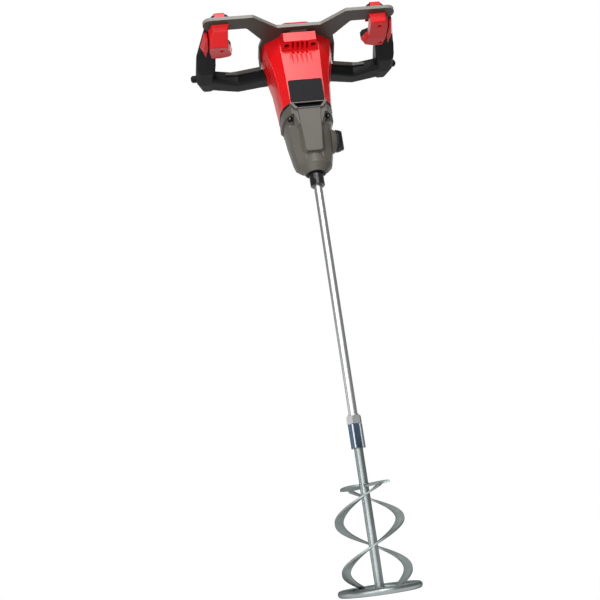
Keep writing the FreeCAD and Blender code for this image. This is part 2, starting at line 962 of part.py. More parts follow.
node(tube(
    "spindle_bearing",
    d.lower_bearing_radius,
    d.journal_radius + d.fit,
    d.lower_bearing_height,
    (0, 0, d.lower_bearing_bottom),
))
node(tube("spindle_bush", d.bush_radius, d.tail_radius + d.fit, d.bush_height, (0, 0, plate_bottom)))
node(tube("nose_seal", d.seal_radius, d.spindle_radius + d.fit, d.seal_height, (0, 0, d.nose_bottom)))

# Gear train: motor pinion to the layshaft's large gear, layshaft pinion to the spindle's gear

tooth_base_share = 0.56
tooth_tip_share = 0.2
tooth_height_share = 0.82
tooth_depth_share = 1.15


def toothed(body, module, teeth, bottom, width, name):
    """Add a rim of straight teeth, and the disc that carries them, to a body."""
    pitch_radius = module * teeth / 2
    foot_radius = pitch_radius - module * tooth_depth_share
    tip_radius = pitch_radius + module * tooth_height_share
    pitch = module * math.pi
    pad(body, disc_outline(body, name + "_disc", foot_radius, bottom), width)
    sketch = outline(body, name + "_tooth", "XY", [
        (foot_radius - module / 2, -pitch * tooth_base_share / 2),
        (tip_radius, -pitch * tooth_tip_share / 2),
        (tip_radius, pitch * tooth_tip_share / 2),
        (foot_radius - module / 2, pitch * tooth_base_share / 2),
    ], bottom)
    tooth = pad(body, sketch, width)
    doc.recompute()
    repeat(body, tooth, sketch, teeth)


def gear(name, module, teeth, bore, bottom, width, spot, turn):
    body = doc.addObject("PartDesign::Body", name + "_blank")
    toothed(body, module, teeth, bottom, width, name)
    place(body, spot, about_z(turn))
    hole = cylinder(name + "_hole", bore, width, (spot[0], spot[1], bottom))
    return cut(name, body, hole)


drive_centres = d.drive_module * (d.drive_pinion_teeth + d.output_gear_teeth) / 2
motor_centres = d.motor_module * (d.motor_pinion_teeth + d.motor_gear_teeth) / 2
layshaft_y = drive_centres
motor_y = drive_centres - motor_centres
quarter_turn = 90

# Each gear is turned so that a gap faces its partner's tooth on the line of centres
node(gear(
    "output_gear",
    d.drive_module,
    d.output_gear_teeth,
    d.journal_radius + d.seat,
    drive_gear_bottom,
    d.drive_gear_width,
    (0, 0),
    quarter_turn,
))
pinion_turn = 180 / float(d.drive_pinion_teeth) - quarter_turn
layshaft = doc.addObject("PartDesign::Body", "layshaft_pinion")
toothed(
    layshaft,
    d.drive_module,
    d.drive_pinion_teeth,
    drive_gear_bottom,
    d.drive_gear_width,
    "layshaft_pinion",
)
place(layshaft, (0, layshaft_y, 0), about_z(pinion_turn))
layshaft_top = plate_bottom + d.layshaft_bearing_height - d.gap
layshaft_rod = cylinder(
    "layshaft_rod",
    d.layshaft_radius,
    layshaft_top - d.layshaft_foot - d.gap,
    (0, layshaft_y, d.layshaft_foot + d.gap),
)
node(fuse("layshaft", layshaft, layshaft_rod))
node(gear(
    "layshaft_gear",
    d.motor_module,
    d.motor_gear_teeth,
    d.layshaft_radius + d.seat,
    motor_gear_bottom,
    d.motor_gear_width,
    (0, layshaft_y),
    -quarter_turn,
))
layshaft_bearings = []
for word, bottom in (("low", d.layshaft_foot), ("high", plate_bottom)):
    layshaft_bearings.append(tube(
        "layshaft_bearing_" + word,
        d.layshaft_bearing_radius,
        d.layshaft_radius + d.fit,
        d.layshaft_bearing_height,
        (0, layshaft_y, bottom),
    ))
node(group("layshaft_bearings", *layshaft_bearings))

# Motor: rotor on its shaft with the pinion cut in the end, stator with coils, fan and end plate

rotor_top = d.end_plate_bottom + d.end_plate_boss_height
pinion_bottom = motor_gear_bottom - d.pinion_lead
pinion_top = motor_gear_top + d.pinion_lead
rotor_pinion = doc.addObject("PartDesign::Body", "rotor_pinion")
toothed(
    rotor_pinion,
    d.motor_module,
    d.motor_pinion_teeth,
    pinion_bottom,
    pinion_top - pinion_bottom,
    "rotor_pinion",
)
rotor_turn = quarter_turn + 180 / float(d.motor_pinion_teeth)
place(rotor_pinion, (0, motor_y, 0), about_z(rotor_turn))
rotor_rod = cylinder(
    "rotor_rod",
    d.rotor_shaft_radius,
    rotor_top - pinion_top,
    (0, motor_y, pinion_top),
)
node(fuse("rotor_shaft", rotor_pinion, rotor_rod))
node(tube(
    "rotor_core",
    d.rotor_core_radius,
    d.rotor_shaft_radius + d.seat,
    d.stator_height,
    (0, motor_y, d.stator_bottom),
))
rotor_bearings = []
rotor_bearing_low = d.flange_z - d.rotor_bearing_height
rotor_bearing_high = rotor_top - d.rotor_bearing_height
for word, bottom in (("low", rotor_bearing_low), ("high", rotor_bearing_high)):
    rotor_bearings.append(tube(
        "rotor_bearing_" + word,
        d.rotor_bearing_radius,
        d.rotor_shaft_radius + d.fit,
        d.rotor_bearing_height,
        (0, motor_y, bottom),
    ))
node(group("rotor_bearings", *rotor_bearings))

stator_yoke = tube(
    "stator_yoke_ring",
    d.stator_radius,
    d.stator_yoke,
    d.stator_height,
    (0, motor_y, d.stator_bottom),
)
stator_step = 360 / float(d.stator_teeth)
stator_teeth = [stator_yoke]
coils = []
for index in range(int(float(d.stator_teeth))):
    turn = about_z(stator_step * index)
    half = d.stator_tooth_width / 2
    tooth = prism("stator_tooth_%d" % index, "XY", [
        (d.stator_bore, -half),
        (d.stator_yoke + d.gap, -half),
        (d.stator_yoke + d.gap, half),
        (d.stator_bore, half),
    ], d.stator_height, d.stator_bottom)
    stator_teeth.append(place(tooth, (0, motor_y, 0), turn))
    coil_inner = d.stator_bore + d.coil_inset
    coil_outer = d.stator_yoke - d.coil_inset
    coil = prism("stator_coil_%d_block" % index, "XY", [
        (coil_inner, -d.coil_width / 2),
        (coil_outer, -d.coil_width / 2),
        (coil_outer, d.coil_width / 2),
        (coil_inner, d.coil_width / 2),
    ], d.stator_height + d.coil_overhang * 2, d.stator_bottom - d.coil_overhang)
    window_half = half + d.gap
    window = prism("stator_coil_%d_window" % index, "XY", [
        (coil_inner, -window_half),
        (coil_outer, -window_half),
        (coil_outer, window_half),
        (coil_inner, window_half),
    ], d.stator_height + d.gap * 2, d.stator_bottom - d.gap)
    place(coil, (0, motor_y, 0), turn)
    place(window, (0, motor_y, 0), turn)
    coils.append(cut("stator_coil_%d" % index, coil, window))
node(fuse("stator_core", *stator_teeth))
node(group("stator_coils", *coils))

fan = doc.addObject("PartDesign::Body", "cooling_fan_blank")
pad(fan, disc_outline(fan, "fan_disc", d.fan_radius, d.fan_bottom), d.fan_disc)
pad(fan, disc_outline(fan, "fan_hub", d.fan_hub_radius, d.fan_bottom), d.fan_height)
blade_half = d.fan_blade_thickness / 2
fan_lean_share = 0.22
fan_blade_outline = outline(fan, "fan_blade", "XY", [
    (d.fan_hub_radius - blade_half, -blade_half),
    (d.fan_radius, d.fan_radius * fan_lean_share - blade_half),
    (d.fan_radius - blade_half, d.fan_radius * fan_lean_share + blade_half),
    (d.fan_hub_radius - blade_half, blade_half),
], d.fan_bottom)
fan_blade = pad(fan, fan_blade_outline, d.fan_height)
doc.recompute()
repeat(fan, fan_blade, fan_blade_outline, d.fan_blades)
place(fan, (0, motor_y, 0))
fan_hole = cylinder("fan_hole", d.rotor_shaft_radius + d.seat, d.fan_height, (0, motor_y, d.fan_bottom))
node(cut("cooling_fan", fan, fan_hole))

end_plate_disc = cylinder(
    "end_plate_disc",
    d.stator_radius,
    d.end_plate_thickness,
    (0, motor_y, d.end_plate_bottom),
)
end_plate_boss = cylinder(
    "end_plate_boss",
    d.end_plate_boss_radius,
    d.end_plate_boss_height,
    (0, motor_y, d.end_plate_bottom),
)
end_plate_seat = cylinder(
    "end_plate_seat",
    d.rotor_bearing_radius + d.seat,
    d.rotor_bearing_height + d.overrun,
    (0, motor_y, rotor_bearing_high),
)
end_plate_hole = cylinder(
    "end_plate_hole",
    d.rotor_shaft_radius + d.gap,
    d.end_plate_boss_height,
    (0, motor_y, d.end_plate_bottom),
)
end_plate = fuse("end_plate_blank", end_plate_disc, end_plate_boss)
node(cut("motor_end_plate", end_plate, end_plate_seat, end_plate_hole))

# Gear housing: a cast case lofted from the nose to the flange, bored for the gear train

shoulder_share = 0.9
cheek_share = 0.45
side_start_share = 0.1
side_end_share = 0.62


def housing_section(name, inset=0):
    """Ten corners of a housing, from its half width, front face, front and rear."""
    half = getattr(d, name + "_half") - inset
    face = getattr(d, name + "_face") - inset
    front = getattr(d, name + "_front") - inset
    rear = getattr(d, name + "_rear") - inset
    right = [
        (face, -front),
        (half * shoulder_share, -front * cheek_share),
        (half, rear * side_start_share),
        (half, rear * side_end_share),
        (face, rear),
    ]
    return right + [(-x, y) for x, y in reversed(right)]


case_names = ("case_sole", "case_foot", "case_neck", "case_waist", "case_top")
case_body = loft("case_body", "XY", [(getattr(d, name + "_z"), housing_section(name)) for name in case_names])
case_flange = prism("case_flange", "XY", housing_section("flange"), d.flange_z - d.case_top_z, d.case_top_z)
case_nose = turned("case_nose", [
    (0, d.nose_bottom),
    (d.nose_radius, d.nose_bottom),
    (d.nose_belly_radius, d.nose_belly),
    (d.nose_crown_radius, d.nose_crown),
    (0, d.nose_crown),
])


def raised_slab(name, step, *spans):
    """A slab on the front of the case, with sloping side walls and its back sunk in the wall."""
    sections = []
    for level, half in spans:
        front = step - along_span(
            level,
            (d.pad_bottom_z, d.pad_bottom_front),
            (d.case_top_z, d.pad_top_front),
        )
        back_half = half + d.pad_flare
        sections.append((level, [
            (-half, front),
            (half, front),
            (back_half, -d.pad_back),
            (-back_half, -d.pad_back),
        ]))
    return loft(name, "XY", sections)


case_pad = raised_slab(
    "case_pad",
    0,
    (d.pad_bottom_z, d.pad_bottom_half - d.pad_corner),
    (d.pad_bottom_z + d.pad_corner, d.pad_bottom_half),
    (d.outlet_frame_foot, d.pad_top_half),
)
case_yoke = raised_slab(
    "case_yoke",
    d.pad_step,
    (d.case_top_z - d.yoke_drop, d.pad_top_half),
    (d.outlet_frame_foot, d.yoke_half),
)
outlet_top = d.outlet_sill + d.outlet_height
outlet_frame = prism("outlet_frame", "XZ", [
    (-d.outlet_frame_foot_half, d.outlet_frame_foot),
    (d.outlet_frame_foot_half, d.outlet_frame_foot),
    (d.outlet_frame_half, d.flange_z),
    (-d.outlet_frame_half, d.flange_z),
], d.outlet_frame_front - d.case_neck_face, d.case_neck_face)
outlet_back = d.outlet_frame_front - d.outlet_depth


def outlet_form(name, inset, depth):
    """The outlet's opening, wider at the top, from its back wall towards the front."""
    return prism(name, "XZ", [
        (-d.outlet_foot_half + inset, d.outlet_sill + inset),
        (d.outlet_foot_half - inset, d.outlet_sill + inset),
        (d.outlet_top_half - inset, outlet_top - inset),
        (-d.outlet_top_half + inset, outlet_top - inset),
    ], depth, outlet_back)


selector_boss = cone(
    "selector_boss",
    d.selector_root_radius,
    d.selector_face_radius,
    d.selector_face_x - d.selector_root_x,
    (d.selector_root_x, d.selector_y, d.selector_z),
    "x",
)
case_blank = fuse(
    "case_blank",
    case_body,
    case_flange,
    case_nose,
    case_pad,
    case_yoke,
    outlet_frame,
    selector_boss,
)

output_room = d.drive_module * (d.output_gear_teeth / 2 + tooth_height_share) + d.gear_room_play
pinion_room = d.drive_module * (d.drive_pinion_teeth / 2 + tooth_height_share) + d.gear_room_play
layshaft_room = d.motor_module * (d.motor_gear_teeth / 2 + tooth_height_share) + d.gear_room_play
gear_room_height = d.flange_z - d.gear_room_bottom
upper_room_bottom = motor_gear_bottom - d.gear_room_play * 2
seal_top = d.nose_bottom + d.seal_height
knob_stem_end = d.selector_face_x + d.gap - d.knob_stem_length


def stadium(name, radius, bottom, height):
    """A round-ended slab over the spindle and the layshaft."""
    front = cylinder(name + "_front", radius, height, (0, 0, bottom))
    rear = cylinder(name + "_rear", radius, height, (0, d.plate_spread, bottom))
    middle = box(name + "_middle", (-radius, 0, bottom), (radius, d.plate_spread, bottom + height))
    return fuse(name, front, rear, middle)


case_screw_spots = []
for side in (-1, 1):
    case_screw_spots.append((d.case_screw_x * side, d.case_screw_front_y))
    case_screw_spots.append((d.case_screw_rear_x * side, d.case_screw_rear_y))
screw_top = d.flange_z + d.gasket_thickness + d.case_screw_reach
screw_hole_length = screw_top + d.gap - d.case_top_z
case_screws = []
screw_holes = []
case_notches = []
for index, (x, y) in enumerate(case_screw_spots):
    name = "case_screw_%d" % index
    shank = cylinder(name + "_shank", d.case_screw_radius, screw_top - d.case_top_z, (x, y, d.case_top_z))
    head_bottom = d.case_top_z - d.case_screw_head_height
    head = cylinder(name + "_head", d.case_screw_head_radius, d.case_screw_head_height, (x, y, head_bottom))
    case_screws.append(fuse(name, shank, head))
    hole_radius = d.case_screw_radius + d.seat
    screw_holes.append(cylinder(name + "_hole", hole_radius, screw_hole_length, (x, y, d.case_top_z)))
    corners = []
    for middle in (x, y):
        side = math.copysign(1, float(middle))
        corners.append(sorted((middle - d.case_notch_half * side, middle + d.overrun * side), key=float))
    case_notches.append(box(
        name + "_notch",
        (corners[0][0], corners[1][0], d.case_top_z - d.case_notch_height),
        (corners[0][1], corners[1][1], d.case_top_z),
    ))
node(group("gear_housing_screws", *case_screws))

case_tools = [
    cylinder("case_seal_seat", d.seal_radius + d.seat, d.seal_height, (0, 0, d.nose_bottom)),
    cylinder("case_bore", d.case_bore_radius, d.gear_room_bottom - seal_top, (0, 0, seal_top)),
    cylinder(
        "case_bearing_seat",
        d.lower_bearing_radius + d.seat,
        d.lower_bearing_height,
        (0, 0, d.lower_bearing_bottom),
    ),
    cylinder("case_output_room", output_room, gear_room_height, (0, 0, d.gear_room_bottom)),
    cylinder("case_pinion_room", pinion_room, gear_room_height, (0, layshaft_y, d.gear_room_bottom)),
    cylinder(
        "case_layshaft_room",
        layshaft_room,
        d.flange_z - upper_room_bottom,
        (0, layshaft_y, upper_room_bottom),
    ),
    cylinder(
        "case_layshaft_seat",
        d.layshaft_bearing_radius + d.seat,
        d.gear_room_bottom - d.layshaft_foot,
        (0, layshaft_y, d.layshaft_foot),
    ),
    stadium("case_plate_seat", d.plate_radius + d.seat, plate_bottom, d.plate_thickness),
    outlet_form("case_outlet", 0, d.outlet_depth + d.overrun),
    cylinder(
        "case_selector_hole",
        d.knob_stem_radius + d.fit,
        d.knob_stem_length + d.overrun,
        (knob_stem_end - d.gap, d.selector_y, d.selector_z),
        "x",
    ),
]
node(cut("gear_housing", case_blank, *case_tools, *case_notches, *screw_holes))

grille_blank = outlet_form("outlet_grille_block", d.seat, d.outlet_depth / 2)
grille_slots = []
grille_rows = 2
slot_height = (d.outlet_height - d.outlet_vane * (grille_rows + 1)) / grille_rows
for row in range(grille_rows):
    sill = d.outlet_sill + d.outlet_vane + (slot_height + d.outlet_vane) * row
    grille_slots.append(box(
        "outlet_grille_slot_%d" % row,
        (-d.outlet_foot_half + d.outlet_vane, -d.outlet_frame_front, sill),
        (d.outlet_foot_half - d.outlet_vane, -outlet_back - d.outlet_vane / 2, sill + slot_height),
    ))
node(cut("outlet_grille", grille_blank, *grille_slots))

# Bearing plate: closes the gear room and carries the upper ends of the three shafts

bearing_plate_tools = [
    cylinder("plate_bush_seat", d.bush_radius + d.seat, d.bush_height, (0, 0, plate_bottom)),
    cylinder(
        "plate_rotor_seat",
        d.rotor_bearing_radius + d.seat,
        d.rotor_bearing_height,
        (0, motor_y, rotor_bearing_low),
    ),
    cylinder("plate_rotor_hole", d.rotor_shaft_radius + d.gap, d.plate_thickness, (0, motor_y, plate_bottom)),
    cylinder(
        "plate_layshaft_seat",
        d.layshaft_bearing_radius + d.seat,
        d.layshaft_bearing_height,
        (0, layshaft_y, plate_bottom),
    ),
]
node(cut(
    "bearing_plate",
    stadium("bearing_plate_slab", d.plate_radius, plate_bottom, d.plate_thickness),
    *bearing_plate_tools,
))

# Selector knob: a round knob with a finger bar, on a stem that turns in the boss

knob_face = d.selector_face_x + d.gap
knob_spot = (knob_face, d.selector_y, d.selector_z)
knob_disc = cylinder("knob_disc_blank", d.knob_radius, d.knob_disc, knob_spot, "x")
knob_end = knob_face + d.knob_disc
knob_bar_blank = box(
    "knob_bar_blank",
    (knob_end, d.selector_y - d.knob_bar_width / 2, d.selector_z - d.knob_radius),
    (knob_end + d.knob_bar_height, d.selector_y + d.knob_bar_width / 2, d.selector_z + d.knob_radius),
)
knob_round = cylinder(
    "knob_round",
    d.knob_radius,
    d.knob_bar_height,
    (knob_end, d.selector_y, d.selector_z),
    "x",
)
knob_stem = cylinder(
    "knob_stem",
    d.knob_stem_radius,
    d.knob_stem_length,
    (knob_stem_end, d.selector_y, d.selector_z),
    "x",
)
node(fuse("selector_knob", knob_disc, common("knob_bar", knob_bar_blank, knob_round), knob_stem))

# Motor housing: two shells on one lofted form, joined at a seam behind the front face

shell_levels = [
    (shell_bottom, housing_section("shell_base")),
    (d.shell_mid_z, housing_section("shell_mid")),
    (d.shell_vent_z, housing_section("shell_vent")),
    (d.shell_top_z, housing_section("shell_top")),
]
shell_form = loft("shell_form", "XY", shell_levels)

gasket_slab = prism(
    "gasket_slab",
    "XY",
    housing_section("flange", d.gasket_inset),
    d.gasket_thickness,
    d.flange_z,
)
gasket_opening = stadium(
    "gasket_opening",
    d.plate_radius - d.gasket_inset,
    d.flange_z,
    d.gasket_thickness,
)
node(cut("housing_gasket", gasket_slab, gasket_opening, *screw_holes))

shell_side = d.shell_top_half + d.overrun
shell_front_box = box(
    "shell_front_box",
    (-shell_side, -d.brow_front - d.overrun, shell_bottom),
    (shell_side, d.seam_y - d.gap / 2, d.shell_top_z),
)
shell_rear_box = box(
    "shell_rear_box",
    (-shell_side, d.seam_y + d.gap / 2, shell_bottom),
    (shell_side, d.shell_top_rear + d.overrun, d.shell_top_z),
)
brow_top = d.shell_top_z
brow_mid_share = (d.brow_mid - d.brow_back) / (d.brow_front - d.brow_back)
brow_mid_half = span(d.brow_back_half, d.brow_front_half, brow_mid_share)
brow_mid_bottom = span(d.brow_back_bottom, d.brow_front_bottom, brow_mid_share)


def brow_section(depth, half, bottom, top):
    return depth, [(-half, bottom), (half, bottom), (half, top), (-half, top)]


brow = loft("shell_brow", "XZ", [
    brow_section(d.brow_back, d.brow_back_half, d.brow_back_bottom, brow_top),
    brow_section(d.brow_mid, brow_mid_half, brow_mid_bottom, brow_top),
    brow_section(d.brow_front, d.brow_front_half, d.brow_front_bottom, d.brow_front_top),
])

motor_room_top = rotor_top + d.gap
shell_tools = [
    cylinder(
        "shell_motor_room",
        d.motor_bore_radius,
        motor_room_top - shell_bottom,
        (0, motor_y, shell_bottom),
    ),
    *screw_holes,
]
front_tools = []
vent_step_shares = (-1.5, -0.5, 0.5, 1.5)
for index, step in enumerate(vent_step_shares):
    middle = d.brow_vent_pitch * step
    front_tools.append(box(
        "brow_vent_%d" % index,
        (middle - d.brow_vent_width / 2, -d.brow_vent_front, d.brow_back_bottom - d.overrun),
        (middle + d.brow_vent_width / 2, -d.brow_vent_rear, d.brow_vent_roof),
    ))
    front_tools.append(cone(
        "brow_flute_%d" % index,
        d.flute_foot_radius,
        d.flute_radius,
        d.flute_height,
        (middle, -d.shell_mid_front - d.flute_stand_off, d.flute_bottom),
    ))

rear_tools = [
    box(
        "shell_board_pocket",
        (-d.board_half - d.fit, motor_y, d.board_bottom - d.fit),
        (d.board_half + d.fit, d.board_front + d.board_thickness + d.fit, d.board_top + d.fit),
    ),
]
side_vent_rows = 6
for side in (-1, 1):
    for row in range(side_vent_rows):
        sill = d.side_vent_bottom + d.side_vent_pitch * row
        ends = sorted((d.side_vent_inner * side, d.side_vent_outer * side), key=float)
        rear_tools.append(box(
            "side_vent_%d_%d" % (side + 1, row),
            (ends[0], d.side_vent_front, sill),
            (ends[1], d.side_vent_rear, sill + d.side_vent_height),
        ))

shell_screws = []
for side in (-1, 1):
    for word in ("low", "high"):
        x = getattr(d, "shell_screw_%s_x" % word) * side
        z = getattr(d, "shell_screw_%s_z" % word)
        name = "shell_screw_%s_%d" % (word, side + 1)
        length = d.shell_screw_seat_y - d.shell_screw_tip_y
        shank = cylinder(name + "_shank", d.shell_screw_radius, length, (x, d.shell_screw_tip_y, z), "y")
        head = cylinder(
            name + "_head",
            d.shell_screw_head_radius,
            d.shell_screw_head_height,
            (x, d.shell_screw_seat_y, z),
            "y",
        )
        shell_screws.append(fuse(name, shank, head))
        shell_tools.append(cylinder(
            name + "_hole",
            d.shell_screw_radius + d.seat,
            length + d.gap,
            (x, d.shell_screw_tip_y - d.gap, z),
            "y",
        ))
        rear_tools.append(cylinder(
            name + "_counterbore",
            d.shell_screw_head_radius + d.gap,
            d.shell_top_rear,
            (x, d.shell_screw_seat_y, z),
            "y",
        ))
node(group("shell_screws", *shell_screws))

frame_screws = []
frame_holes = []
for side in (-1, 1):
    x = d.frame_screw_front_x * side
    y = -d.frame_screw_front_y
    seat = d.frame_screw_front_seat
    name = "frame_screw_front_%d" % (side + 1)
    head_bottom = seat - d.frame_screw_head_height
    shank = cylinder(name + "_shank", d.frame_screw_radius, frame_top - seat, (x, y, seat))
    head = cylinder(name + "_head", d.frame_screw_head_radius, d.frame_screw_head_height, (x, y, head_bottom))
    frame_screws.append(fuse(name, shank, head))
    hole_radius = d.frame_screw_radius + d.seat
    frame_holes.append(cylinder(name + "_hole", hole_radius, frame_top - seat, (x, y, seat)))
    front_tools.append(cylinder(
        name + "_counterbore",
        d.frame_screw_head_radius + d.gap,
        d.overrun,
        (x, y, seat - d.overrun),
    ))
    x = d.frame_screw_rear_x * side
    y = d.frame_screw_rear_y
    name = "frame_screw_rear_%d" % (side + 1)
    tip = frame_bottom - d.frame_screw_reach
    shank = cylinder(name + "_shank", d.frame_screw_radius, frame_top - tip, (x, y, tip))
    head = cylinder(name + "_head", d.frame_screw_head_radius, d.frame_screw_head_height, (x, y, frame_top))
    frame_screws.append(fuse(name, shank, head))
    frame_holes.append(cylinder(
        name + "_hole",
        d.frame_screw_radius + d.seat,
        frame_top - tip + d.gap,
        (x, y, tip - d.gap),
    ))
node(group("frame_screws", *frame_screws))

shell_front = fuse("shell_front_blank", common("shell_front_half", shell_form, shell_front_box), brow)
shell_rear = common("shell_rear_half", shell_form, shell_rear_box)
node(cut("motor_housing_front", shell_front, *shell_tools, *front_tools, *frame_holes))
node(cut("motor_housing_rear", shell_rear, *shell_tools, *rear_tools, *frame_holes))

label = prism("label_plate", "XZ", [
    (-d.label_half, d.label_bottom),
    (d.label_half, d.label_bottom),
    (d.label_half, d.label_top),
    (-d.label_half, d.label_top),
], d.label_thickness, d.shell_mid_front)
round_edges(label, d.label_corner, lambda edge: abs(edge.tangentAt(edge.FirstParameter).y) > upright_share)
node(label)

# Electronics: the control board behind the motor, and the shoe that a battery slides on

board_back = d.board_front + d.board_thickness
board_blank = box(
    "board_blank",
    (-d.board_half, d.board_front, d.board_bottom),
    (d.board_half, board_back, d.board_top),
)
board_parts = [board_blank]
board_part_shares = ((-0.7, 0.12), (0.1, 0.12), (-0.7, 0.6))
board_part_width_share = 0.55
board_part_height_share = 0.25
for index, (across_share, up_share) in enumerate(board_part_shares):
    left = d.board_half * across_share
    bottom = span(d.board_bottom, d.board_top, up_share)
    board_parts.append(box(
        "board_part_%d" % index,
        (left, d.board_front - d.board_part_height / 2, bottom),
        (
            left + d.board_half * board_part_width_share,
            d.board_front,
            bottom + (d.board_top - d.board_bottom) * board_part_height_share,
        ),
    ))
node(fuse("controller_board", *board_parts))


def shell_rear_at(level):
    """Where the rear face of the motor housing stands at a height."""
    return along_span(level, (shell_bottom, d.shell_base_rear), (d.shell_vent_z, d.shell_vent_rear))


shoe_face = d.shoe_back - d.shoe_lip
shoe_neck = shoe_face - d.shoe_groove
shoe_block = prism("shoe_block", "YZ", [
    (shell_rear_at(d.shoe_bottom) + d.gap, d.shoe_bottom),
    (d.shoe_back, d.shoe_bottom),
    (d.shoe_back, d.shoe_top),
    (shell_rear_at(d.shoe_top) + d.gap, d.shoe_top),
], d.shoe_half * 2, -d.shoe_half)
shoe_tools = []
for side in (-1, 1):
    ends = sorted((d.shoe_rail_half * side, (d.shoe_half + d.overrun) * side), key=float)
    shoe_tools.append(box(
        "shoe_groove_%d" % (side + 1),
        (ends[0], shoe_neck, d.shoe_bottom - d.overrun),
        (ends[1], shoe_face, d.shoe_top + d.overrun),
    ))
shoe_channel_sill = d.shoe_bottom + d.shoe_channel_sill
shoe_tools.append(box(
    "shoe_channel",
    (-d.shoe_channel_half, shoe_face, shoe_channel_sill),
    (d.shoe_channel_half, d.shoe_back + d.overrun, d.shoe_top + d.overrun),
))
node(cut("battery_shoe", shoe_block, *shoe_tools))
terminals = []
terminal_step_shares = (-1.5, -0.5, 0.5, 1.5)
for index, step in enumerate(terminal_step_shares):
    middle = d.terminal_pitch * step
    terminals.append(box(
        "battery_terminal_%d" % index,
        (middle - d.terminal_thickness / 2, shoe_face, shoe_channel_sill),
        (middle + d.terminal_thickness / 2, d.shoe_back, shoe_channel_sill + d.terminal_length),
    ))
node(group("battery_terminals", *terminals))

# Handle frame: a flat beam with a ring over the motor, side skirts and the roots of the rear bars

frame_right = [
    (d.frame_nose_half, -d.frame_nose_y),
    (d.frame_bend_x, -d.frame_arm_front),
    (d.frame_tip_x, -d.frame_arm_front),
    (d.frame_tip_x, -d.frame_arm_rear),
    (d.frame_inner_x, -d.frame_arm_rear),
    (d.frame_waist_x, -d.frame_waist_y),
    (d.frame_ring_half, -d.frame_ring_y),
    (d.frame_ring_half, d.skirt_rear),
    (d.frame_back_half, d.frame_back_y),
    (d.frame_rear_half, d.frame_rear_y),
]
frame_plan = frame_right + [(-x, y) for x, y in reversed(frame_right)]
frame_plate = prism("frame_plate", "XY", frame_plan, d.frame_thickness, frame_bottom)


def at_plan_x(*places):
    """A chooser of upright edges at the given distances from the middle plane."""
    reach = float(d.gap)

    def chosen(edge):
        x = abs(edge.CenterOfMass.x)
        return upright(edge) and any(abs(x - float(place)) < reach for place in places)

    return chosen


round_edges(frame_plate, d.frame_tip_round, at_plan_x(d.frame_tip_x))
round_edges(frame_plate, d.frame_bend_round, at_plan_x(d.frame_nose_half, d.frame_bend_x, d.frame_inner_x))

hole_corner = d.frame_hole_corner
hole_inner = d.frame_hole_half - hole_corner
frame_hole_right = [
    (hole_inner, -d.frame_hole_front),
    (d.frame_hole_half, -d.frame_hole_front + hole_corner),
    (d.frame_hole_half, d.frame_hole_rear - hole_corner),
    (hole_inner, d.frame_hole_rear),
]
frame_hole_plan = frame_hole_right + [(-x, y) for x, y in reversed(frame_hole_right)]
frame_hole = prism("frame_hole", "XY", frame_hole_plan, d.frame_thickness, frame_bottom)
frame_slot = box(
    "frame_slot",
    (-d.frame_slot_half, -d.frame_slot_y - d.frame_slot_width / 2, frame_bottom),
    (d.frame_slot_half, -d.frame_slot_y + d.frame_slot_width / 2, frame_top),
)

skirt_outer = d.frame_ring_half
skirt_inner = skirt_outer - d.skirt_thickness
skirt = prism("frame_skirt", "YZ", [
    (-d.frame_ring_y, frame_bottom - d.skirt_front_drop),
    (d.skirt_mid_y, frame_bottom - d.skirt_mid_drop),
    (d.skirt_rear, frame_bottom - d.skirt_rear_drop),
    (d.skirt_rear, frame_top),
    (-d.frame_ring_y, frame_top),
], d.skirt_thickness, skirt_inner)


def bar_front_at(x):
    """Where the front face of a rear bar stands at a distance from the middle plane."""
    if float(x) < float(d.bar_elbow_x):
        return along_span(x, (d.bar_side_x, d.bar_side_front), (d.bar_elbow_x, d.bar_elbow_front))
    return along_span(x, (d.bar_elbow_x, d.bar_elbow_front), (d.bar_tip_x, d.bar_tip_front))


def rib_section(x, top, height):
    back = bar_front_at(x) - d.gap
    front = back - d.rib_depth
    return x, [(front, top - height), (back, top - height), (back, top), (front, top)]


rib = loft("frame_rib", "YZ", [
    rib_section(skirt_inner, d.bar_side_top, d.rib_height),
    rib_section(d.bar_elbow_x, d.rib_elbow_top, d.rib_height),
    rib_section(d.rib_tip_x, d.rib_tip_top, d.rib_tip_height),
])
frame_blank = fuse(
    "frame_blank",
    frame_plate,
    skirt,
    mirrored("frame_skirt_left", skirt),
    rib,
    mirrored("frame_rib_left", rib),
)
node(cut("handle_frame", frame_blank, frame_hole, frame_slot, *frame_holes))

# Top cap: a hollow moulded dome that closes the frame's ring from above

cap_names = ("cap_mid", "cap_high", "cap_crown")


def cap_form(name, inset):
    levels = [(frame_top, housing_section("cap_base", inset))]
    for section in cap_names:
        levels.append((getattr(d, section + "_z") - inset, housing_section(section, inset)))
    return loft(name, "XY", levels)


node(cut("top_cap", cap_form("top_cap_outer", 0), cap_form("top_cap_inner", d.cap_wall)))

# Grips, rear bars and switch heads: made for the right hand and mirrored for the left

palm_chamfer_share = 0.2
outer_slope_width_share = 0.33
outer_slope_height_share = 0.42


def grip_section(name):
    """Eight corners of a grip, seen from the front, with a long slope on the outer top corner."""
    inner = getattr(d, name + "_inner")
    outer = getattr(d, name + "_outer")
    bottom = getattr(d, name + "_bottom")
    top = getattr(d, name + "_top")
    chamfer = (outer - inner) * palm_chamfer_share
    slope_width = (outer - inner) * outer_slope_width_share
    slope_height = (top - bottom) * outer_slope_height_share
    return -getattr(d, name + "_y"), [
        (inner + chamfer, bottom),
        (outer - chamfer, bottom),
        (outer, bottom + chamfer),
        (outer, top - slope_height),
        (outer - slope_width, top),
        (inner + chamfer / 2, top),
        (inner, top - chamfer / 2),
        (inner, bottom + chamfer),
    ]


